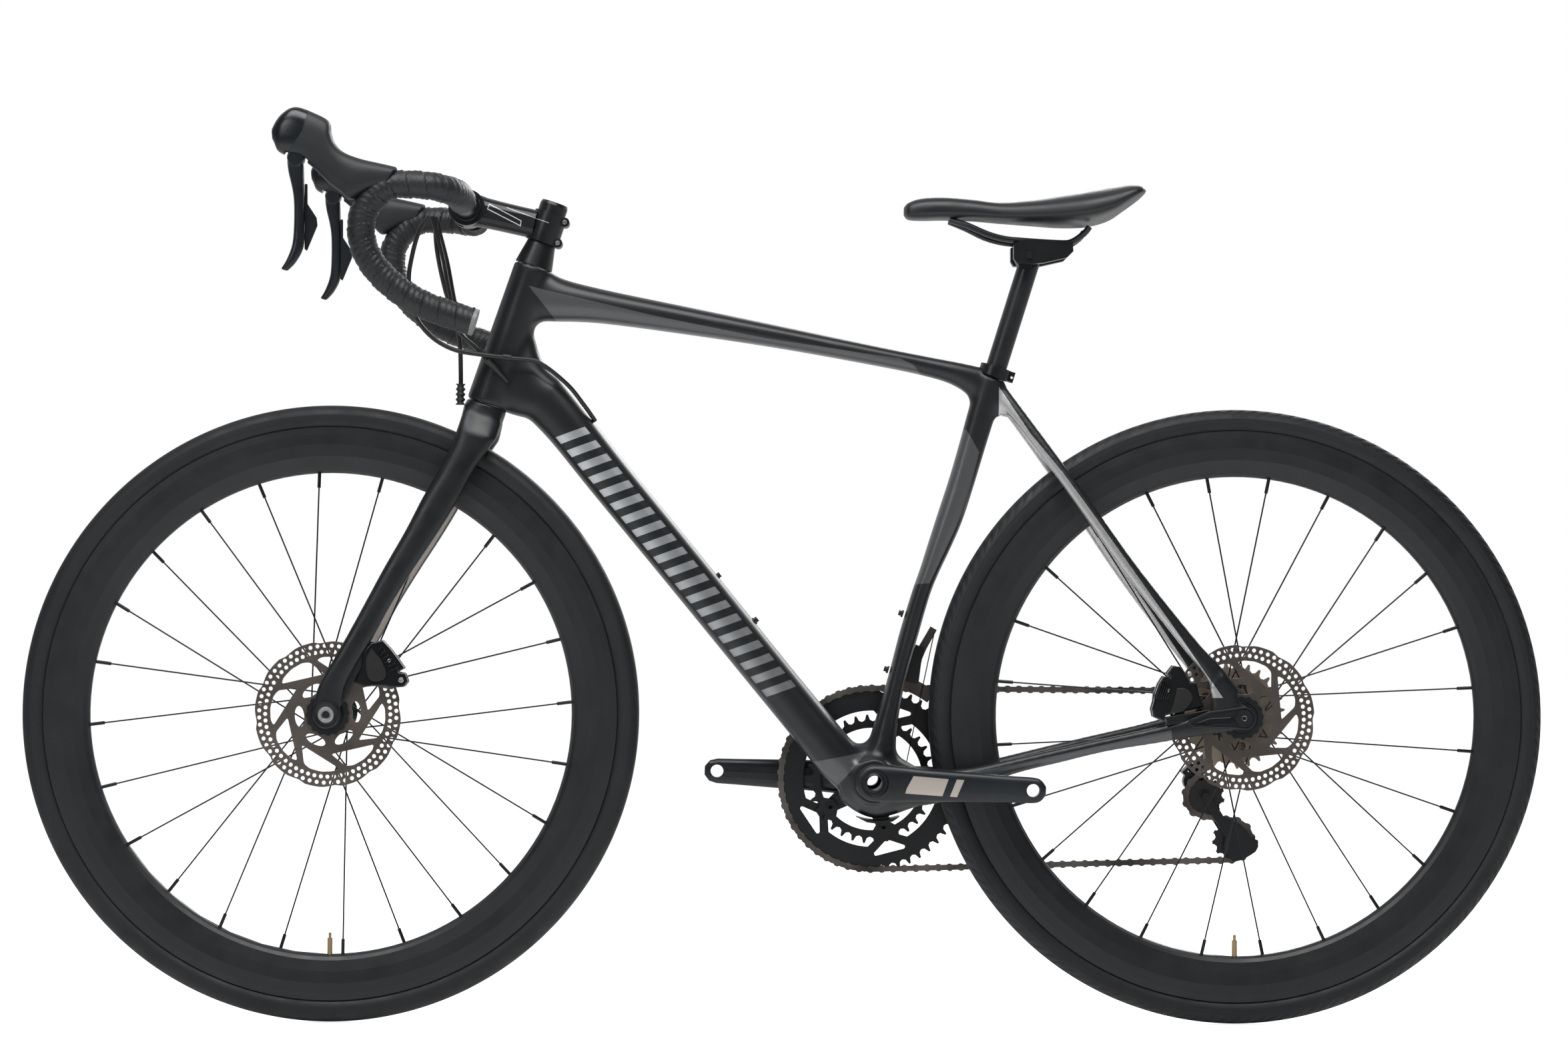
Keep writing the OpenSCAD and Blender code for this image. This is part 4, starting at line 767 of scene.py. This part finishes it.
def tyre(name, cx, body, node, sipes):
    """Tyre casing with a raised tread band; the band has fine ridges or slanted cuts."""
    r, half, steps = TYRE_R, TYRE_HALF, 760
    profile = []
    for i in range(101):
        a = math.radians(-40 + 2.6 * i)
        band = max(0.0, min(1.0, (math.sin(a) - 0.18) / 0.06))
        ridge = 0.22 * (i % 2) if not sipes and 0.25 < math.sin(a) < 0.86 else 0.0
        profile.append((math.sin(a), math.cos(a), half - 0.45 * (1.0 - band) - ridge))
    bead = [(r - 27, -8.95), (r - 33, -8.95), (r - 33, -6), (r - 26, -6.5)]
    inner = [(r - half + 12.0 * math.sin(a), 12.0 * math.cos(a))
             for a in (math.radians(215 - 250 * i / 30) for i in range(31))]
    last = [(r - 26, 6.5), (r - 33, 6), (r - 33, 8.95), (r - 27, 8.95)]
    rings = []
    for k in range(steps):
        turn = 2 * math.pi * k / steps
        line = []
        for up, across, reach in profile:
            if sipes and 0.45 < up < 0.93 and (k + int(9 * up)) % 5 == 0:
                reach -= 0.7
            line.append((r - half + reach * up, reach * across))
        section = line + bead + inner + last
        rings.append([(cx + d * math.cos(turn), y, AXLE_Z + d * math.sin(turn)) for d, y in section])
    count = len(rings[0])
    faces = [(k * count + j, k * count + (j + 1) % count, (k + 1) % steps * count + (j + 1) % count,
              (k + 1) % steps * count + j) for k in range(steps) for j in range(count)]
    put(name, [p for ring_points in rings for p in ring_points], faces, body, "rubber", [node])


def wheels():
    tyre("front_tyre_casing", FRONT_X, "front_wheel", "front_tyre", False)
    tyre("rear_tyre_casing", REAR_X, "rear_wheel", "rear_tyre", True)


# ---------- cranks ----------

CRANK_ARM = [(-20.5, 6, 6), (-19, 9, 7), (-15, 14, 8), (-8, 18.6, 9), (0, 20.4, 9), (22, 20, 9),
             (60, 17.5, 8), (110, 16, 7.5), (150, 14.6, 7), (172.5, 14, 6.6), (181, 11.6, 6.2),
             (186.4, 5, 5)]


def arm(angle, y, out):
    c, s = math.cos(angle), math.sin(angle)
    return loft([(BB_X + d * c, y + out * d / CRANK, BB_Z + d * s, math.degrees(angle) + 90, h, w)
                 for d, h, w in CRANK_ARM], 3.0, 40, 6)


def cranks():
    left = arm(-CRANK_TILT, -55, -11)
    c, s = math.cos(CRANK_TILT), math.sin(CRANK_TILT)
    end_x, end_z = BB_X + CRANK * c, BB_Z - CRANK * s
    cuts = [cylinder((BB_X, -90, BB_Z), (BB_X, -40, BB_Z), 15),
            cylinder((end_x, -90, end_z), (end_x, -40, end_z), PEDAL_HOLE)]
    fuse("crank_arm_left", [left], 0.8, 0.0, 2, "crankset", "crank_alloy", ["crank_left"], cuts)
    seal = [(15.2, -45.6), (22.4, -45.6), (22.9, -44.4), (22.9, -39), (15.2, -39)]
    put("crank_seal", *turned(BB_X, BB_Z, seal, 96), "crankset", "rubber")
    collar = [(8.1, -60.1), (8.1, -62.2), (9.3, -62.6), (10.2, -62.2), (11, -61.2), (13.6, -61.2),
              (14.2, -62.2), (14.9, -61.9), (14.9, -60.1)]
    put("spindle_cap", *turned(BB_X, BB_Z, collar, 96), "crankset", "grey_alloy")


# ---------- disc brakes ----------

def flat_piece(name, outlines, y0, y1, body, slot, bevel=0.25, replaces=()):
    """Plate cut from sheet: the first outline is the rim, the others are the openings."""
    curve = bpy.data.curves.new(name, "CURVE")
    curve.dimensions = "2D"
    curve.fill_mode = "BOTH"
    curve.extrude = ((y1 - y0) / 2 - bevel) * MM
    curve.bevel_depth = bevel * MM
    curve.bevel_resolution = 2
    curve.offset = -bevel * MM
    for outline in outlines:
        spline = curve.splines.new("POLY")
        spline.points.add(len(outline) - 1)
        for point, (x, z) in zip(spline.points, outline):
            point.co = (x * MM, z * MM, 0.0, 1.0)
        spline.use_cyclic_u = True
    flat = bpy.data.objects.new(name, curve)
    mesh = bpy.data.meshes.new_from_object(flat)
    bpy.data.objects.remove(flat)
    # the curve lies in its own X and Y, so Y becomes up and the thickness runs across the bicycle
    mesh.transform(Matrix(((1, 0, 0, 0), (0, 0, -1, (y0 + y1) / 2 * MM), (0, 1, 0, 0), (0, 0, 0, 1))))
    obj = bpy.data.objects.new(name, mesh)
    bpy.context.scene.collection.objects.link(obj)
    settle(obj, body, slot, replaces, angle=35.0)
    return obj


def polar(cx, cz, r, degrees):
    return (cx + r * math.cos(math.radians(degrees)), cz + r * math.sin(math.radians(degrees)))


def ring(cx, cz, r, n=20):
    return [polar(cx, cz, r, 360 * i / n) for i in range(n)]


def rounded(corners, r, n=5):
    """Outline with its corners rounded; each corner is cut back by r along both sides."""
    out = []
    for i, corner in enumerate(corners):
        here = Vector(corner)
        before = here + (Vector(corners[i - 1]) - here).normalized() * r
        after = here + (Vector(corners[(i + 1) % len(corners)]) - here).normalized() * r
        for j in range(n + 1):
            t = j / n
            out.append(tuple(before * (1 - t) ** 2 + here * 2 * t * (1 - t) + after * t ** 2))
    return out


def rotor(name, cx, y, body, phase):
    """Drilled braking ring on slim slanted arms, a star with six oval openings, and a notched lockring."""
    rim = []
    for i in range(144):
        turn = (2.5 * i) % 30
        dip = 1.9 * max(0.0, min(1.0, (turn - 14) / 9)) * ((30 - turn) / 5 if turn > 25 else 1)
        rim.append(polar(cx, AXLE_Z, ROTOR_R - dip, 2.5 * i + phase))
    openings = [ring(cx, AXLE_Z, 17, 48)]
    for k in range(6):
        oval = []
        for i in range(28):
            a = 2 * math.pi * i / 28
            along, across = 31.0 + 5.2 * math.cos(a), 11.5 * math.sin(a)
            turn = phase + 60 * k - 7 + math.degrees(math.atan2(across, along))
            oval.append(polar(cx, AXLE_Z, math.hypot(along, across), turn))
        openings.append(oval)
        for j in range(10):
            for q in range(2):
                place = polar(cx, AXLE_Z, 68.4 + 6.6 * q, phase + 60 * k + 6 * j + 3 * q)
                openings.append(ring(*place, 2.2))
    for k in range(8):
        window = [(44, -52), (60, -37.5), (62.6, -30), (63.3, -18), (62.8, -6), (60.5, 0)]
        openings.append(rounded([polar(cx, AXLE_Z, r, 45 * k + phase + a) for r, a in window], 3.0))
    flat_piece(f"{name}_rotor_plate", [rim] + openings, y - 0.9, y + 0.9, body, "steel", 0.2,
               [f"{name}_rotor"])
    notches = [polar(cx, AXLE_Z, 24 if i % 4 in (0, 1) else 22.4, 360 * i / 64) for i in range(64)]
    flat_piece(f"{name}_lockring", [notches, ring(cx, AXLE_Z, 17.1, 48)], y - 4.2, y - 0.95, body,
               "black_alloy", 0.3)


REAR_CALIPER = [(403.5, 364.3), (408, 377), (413.5, 385.7), (421, 383.5), (417.2, 388.5), (424, 397.2),
                (431.3, 395.8), (436.5, 388.5), (440.5, 379.5), (449, 379), (453, 361), (458, 352),
                (415.5, 342.5), (413.5, 336), (402, 341), (400.3, 349.7), (402.6, 357)]
REAR_COVER = [(427, 372), (431.3, 373), (436.3, 372.7), (441.8, 369.8), (445, 364.3), (444.5, 359.7),
              (441, 354.3), (434.5, 347.3), (419.5, 345.2), (421.7, 350.6), (424.5, 359.7)]
FRONT_CALIPER = [(-461, 409), (-453, 418), (-440, 421.5), (-432, 413), (-424.5, 403.5), (-415.5, 390.8),
                 (-422.8, 386.8), (-415, 385.4), (-411.6, 376), (-416, 370.3), (-428, 369.5), (-437, 371),
                 (-451, 371), (-459, 370), (-470, 375), (-463, 390)]
FRONT_COVER = [(-451.7, 413.5), (-457.6, 401.7), (-457.4, 389), (-454.5, 379.8), (-450.8, 376.6),
               (-443.7, 376), (-437.8, 378.6), (-434.8, 383.5), (-435.6, 390), (-440.5, 400)]
FINS = 6


def caliper(name, shape, cover, fins, screws, y, body):
    """Flat-mount caliper: body with an oval piston cover, cooling fins and two screws."""
    flat_piece(f"{name}_caliper_body", [rounded(shape, 1.2)], y - 14, y - 3.2, body, "gloss_black", 1.6,
               [f"{name}_caliper"])
    flat_piece(f"{name}_caliper_inner", [rounded(shape, 1.2)], y + 3.2, y + 13, body, "gloss_black", 1.6)
    flat_piece(f"{name}_caliper_cover", [rounded(cover, 1.5)], y - 16.2, y - 13.8, body, "plastic", 0.8)
    first_top, last_top, first_foot, last_foot = (Vector(point) for point in fins)
    for i in range(FINS):
        t = i / (FINS - 1)
        top = first_top.lerp(last_top, t)
        foot = first_foot.lerp(last_foot, t)
        side = (top - foot).normalized().orthogonal() * 0.65
        slat = [tuple(foot - side), tuple(foot + side), tuple(top + side), tuple(top - side)]
        flat_piece(f"{name}_fin_{i}", [slat], y - 16.4, y - 13.6, body, "gloss_black", 0.4)
    for i, (x, z, r) in enumerate(screws):
        head = [(0.001, y - 15), (1.0, y - 15), (1.2, y - 16.2), (r - 0.4, y - 16.2), (r, y - 15.8),
                (r, y - 13.8), (0.001, y - 13.8)]
        put(f"{name}_caliper_screw_{i}", *turned(x, z, head, 32), body, "silver_alloy")


def disc_brakes():
    rotor("front", FRONT_X, ROTOR_FRONT_Y, "front_wheel", 12)
    rotor("rear", REAR_X, ROTOR_REAR_Y, "rear_wheel", 94.5)
    fins = [(412.5, 384), (421, 376), (404.5, 361), (417, 360)]
    screws = [(418.2, 370, 2), (441.5, 387.5, 2.2)]
    caliper("rear", REAR_CALIPER, REAR_COVER, fins, screws, ROTOR_REAR_Y, "frame")
    fins = [(-440, 415), (-421.5, 391.5), (-444, 409), (-431, 388.5)]
    screws = [(-432.3, 399.2, 2), (-419, 378, 3)]
    caliper("front", FRONT_CALIPER, FRONT_COVER, fins, screws, ROTOR_FRONT_Y, "steering")
    bar = [(415.5, 341), (470, 350.5), (474, 344.5), (417, 331.5)]
    flat_piece("rear_mount_bar", [rounded(bar, 1.5)], ROTOR_REAR_Y - 14, ROTOR_REAR_Y - 2.5, "frame",
               "black_alloy", 0.8)
    leg = [(-463, 418), (-449, 420), (-456, 404), (-468, 381), (-481, 355), (-487, 347), (-490, 352),
           (-478, 383)]
    flat_piece("front_mount_bar", [rounded(leg, 1.5)], -52, -44, "steering", "black_alloy", 0.8)


def dropouts():
    """Raised rim and lever recess at the rear dropout, and the flush axle ends."""
    outer_tail = [(462, 347.5), (441, 339), (438, 334.5), (444, 330), (470, 328.5)]
    inner_tail = [(464, 345.5), (446, 337.5), (442, 334.5), (447, 331.8), (470, 330.5)]
    outer, inner = ([polar(REAR_X, AXLE_Z, r, a) for a in range(-78, 103, 10)] + tail
                    for r, tail in ((12.6, outer_tail), (10.6, inner_tail)))
    flat_piece("dropout_rim", [outer, inner], -79.4, -75, "frame", "carbon_frame", 0.6)
    flat_piece("dropout_floor", [inner], -78.2, -75, "frame", "black_alloy", 0.2)
    lever = [(446, 334.2), (462, 340), (486, 341.5), (490, 338), (489, 333.5), (470, 332.4)]
    flat_piece("axle_lever", [rounded(lever, 1.2)], -79.2, -77.5, "frame", "gloss_black", 0.7)
    for name, x, y, r, body in (("rear_axle_end", REAR_X, -78.0, 3.6, "frame"),
                                ("front_axle_end", FRONT_X, -62.0, 8.4, "steering")):
        hole = 0.6 * r
        face = [(hole, y + 2), (hole, y - 0.8), (hole + 0.3, y - 1.2), (r - 0.5, y - 1.2), (r, y - 0.7),
                (r, y + 2)]
        put(name, *turned(x, AXLE_Z, face, 48), body, "silver_alloy")
    surround = [(8.6, -58), (8.6, -62.4), (9.2, -62.9), (13.6, -62.9), (14.3, -62.2), (14.3, -58)]
    put("front_axle_surround", *turned(FRONT_X, AXLE_Z, surround, 48), "steering", "black_alloy")
    cup = [(0.001, -59.5), (0.001, -61.4), (4.4, -61.4), (4.6, -62.6), (5.0, -62.6), (5.0, -59.5)]
    put("front_axle_cup", *turned(FRONT_X, AXLE_Z, cup, 32), "steering", "black_alloy")


# ---------- hoses ----------

FRONT_HOSE = [(-386, -36, 886), (-384, -32, 850), (-375, -24, 806), (-364, -18, 775), (-359.5, -15, 748),
              (-358.5, -12, 716), (-358.5, -12, 693)]
REAR_HOSE = [(-392, -46, 886), (-403, -46, 869), (-411, -44, 840), (-414, -42, 815), (-409, -40, 782),
             (-392, -38, 757), (-366, -36, 741), (-333, -34, 735), (-300, -33, 731.5), (-272, -32, 727),
             (-241, -26, 704), (-222, -17, 681), (-210, -8, 664)]
HOUSING = [(-389, 42, 886), (-378, 41, 845), (-370, 39, 804), (-361, 35, 764), (-342, 30, 744),
           (-328, 28, 732)]


def hose(name, path, r, bends=True):
    """Hose or housing; one that bends runs from the bar to the frame."""
    obj = put(name, *sweep(blend_points(path, 12), r, 16), None, "hose", ["control_cables"])
    if bends:
        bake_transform(obj)
    else:
        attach(obj, "steering")


def bellows(name, a, b, r, ribs, body):
    """Ribbed rubber sleeve between two points."""
    a, b = Vector(a), Vector(b)
    steps = ribs * 6
    path = [a.lerp(b, i / steps) for i in range(steps + 1)]

    def radius(i, turn):
        return r * (1.0 + 0.22 * math.cos(2 * math.pi * i / 6))

    put(name, *sweep(path, radius, 24), body, "hood_rubber")


def hoses():
    hose("front_brake_hose", FRONT_HOSE, 2.5, False)
    hose("rear_brake_hose", REAR_HOSE, 2.5)
    hose("rear_shift_housing", [(x, -y, z) for x, y, z in HOUSING], 2.2)
    hose("front_shift_housing", HOUSING, 2.2)
    bellows("fork_port_sleeve", (-358.5, -12, 704), (-358.8, -12, 681), 4.4, 4, "steering")
    for side in (1, -1):
        sleeve = ((-334, side * 29.4, 737), (-324, side * 27, 728))
        bellows(f"housing_sleeve_{side + 1}", *sleeve, 3.6, 3, "frame")
        port = cylinder((-328, side * 27.5, 731), (-306, side * 21, 706), 5.2, 40, 2.4)
        put(f"housing_port_{side + 1}", *port, "frame", "plastic")
    put("hose_clip", *cylinder((-311, -33.1, 733), (-302, -33.1, 732), 3.6, 32), "frame", "plastic")


# ---------- carried-over CAD nodes ----------

NODE_SLOTS = {"seatpost": "carbon_post", "front_spokes": "spoke_black", "rear_spokes": "spoke_black",
              "stem": "stem_alloy", "stem_faceplate": "stem_alloy"}


def dress_nodes():
    for sub in frame["record"]["subparts"]:
        obj = frame["nodes"][sub["node"]]
        obj.data.materials.clear()
        obj.data.materials.append(material(NODE_SLOTS.get(sub["node"], sub["material_slot"])))
        obj.data.shade_smooth()
        obj.data.set_sharp_from_angle(angle=math.radians(35))


# ---------- stage ----------

def camera():
    """The viewpoint: level with the top of the wheels, square to the left side."""
    yaw, pitch, roll = 0.0161, 0.0189, 0.004
    forward = Vector((math.sin(yaw) * math.cos(pitch), math.cos(yaw) * math.cos(pitch), math.sin(pitch)))
    level = Vector((math.cos(yaw), -math.sin(yaw), 0.0))
    above = level.cross(forward)
    right = level * math.cos(roll) + above * math.sin(roll)
    up = right.cross(forward)
    data = bpy.data.cameras.new("camera")
    data.sensor_width, data.lens = 36.0, 90.03
    cam = bpy.data.objects.new("camera", data)
    cam.matrix_world = Matrix((right, up, -forward)).transposed().to_4x4()
    cam.location = (-0.0707, -4.3425, 0.4701)
    bpy.context.scene.collection.objects.link(cam)
    bpy.context.scene.camera = cam


def area(name, place, aim, size, watts):
    data = bpy.data.lights.new(name, "AREA")
    data.shape = "RECTANGLE"
    data.size, data.size_y = size
    data.energy = watts
    obj = bpy.data.objects.new(name, data)
    obj.location = place
    obj.rotation_mode = "QUATERNION"
    obj.rotation_quaternion = (Vector(aim) - Vector(place)).to_track_quat("-Z", "Y")
    bpy.context.scene.collection.objects.link(obj)


def stage():
    scene = bpy.context.scene
    scene.view_settings.view_transform = "Standard"
    world = bpy.data.worlds.new("studio")
    world.use_nodes = True
    tree = world.node_tree
    back = tree.nodes["Background"]
    back.inputs["Color"].default_value = (1.0, 1.0, 1.0, 1.0)
    coords = tree.nodes.new("ShaderNodeTexCoord")
    split = tree.nodes.new("ShaderNodeSeparateXYZ")
    behind = tree.nodes.new("ShaderNodeMapRange")
    for socket, value in zip(list(behind.inputs)[1:5], (-0.2, 0.5, 0.03, 0.7)):
        socket.default_value = value
    seen = tree.nodes.new("ShaderNodeLightPath")
    pick = tree.nodes.new("ShaderNodeMath")
    pick.operation = "MAXIMUM"
    tree.links.new(coords.outputs["Generated"], split.inputs[0])
    tree.links.new(split.outputs["Y"], behind.inputs[0])
    tree.links.new(behind.outputs[0], pick.inputs[0])
    tree.links.new(seen.outputs["Is Camera Ray"], pick.inputs[1])
    tree.links.new(pick.outputs[0], back.inputs["Strength"])
    scene.world = world
    n = Nodes("floor")
    n.link(n.mix(n.ramp(n.noise(0.8), 0.3, 0.7), grey(0.9), grey(0.94)), n.bsdf.inputs["Base Color"])
    n.bsdf.inputs["Roughness"].default_value = 0.35
    n.bsdf.inputs["Emission Color"].default_value = (1.0, 1.0, 1.0, 1.0)
    seen = n.add("ShaderNodeLightPath").outputs["Is Camera Ray"]
    n.link(n.ramp(seen, 0.0, 1.0, 0.05, 0.7), n.bsdf.inputs["Emission Strength"])
    mesh = bpy.data.meshes.new("floor")
    mesh.from_pydata([(-14, -14, 0), (14, -14, 0), (14, 14, 0), (-14, 14, 0)], [], [(0, 1, 2, 3)])
    mesh.materials.append(n.mat)
    floor = bpy.data.objects.new("floor", mesh)
    floor.location.z = -0.0005
    scene.collection.objects.link(floor)
    area("overhead", (-0.3, -1.6, 3.0), (0.0, 0.0, 0.4), (3.0, 1.6), 92)
    area("key", (-2.4, -3.4, 2.2), (0.0, 0.0, 0.5), (1.0, 1.0), 14)
    area("rim", (1.5, 3.0, 2.4), (0.0, 0.0, 0.6), (2.4, 1.4), 70)


dress_nodes()
main_frame()
front_fork()
saddle()
tape()
hoods()
levers()
paddles()
wheels()
disc_brakes()
dropouts()
cranks()
hoses()
stage()
camera()
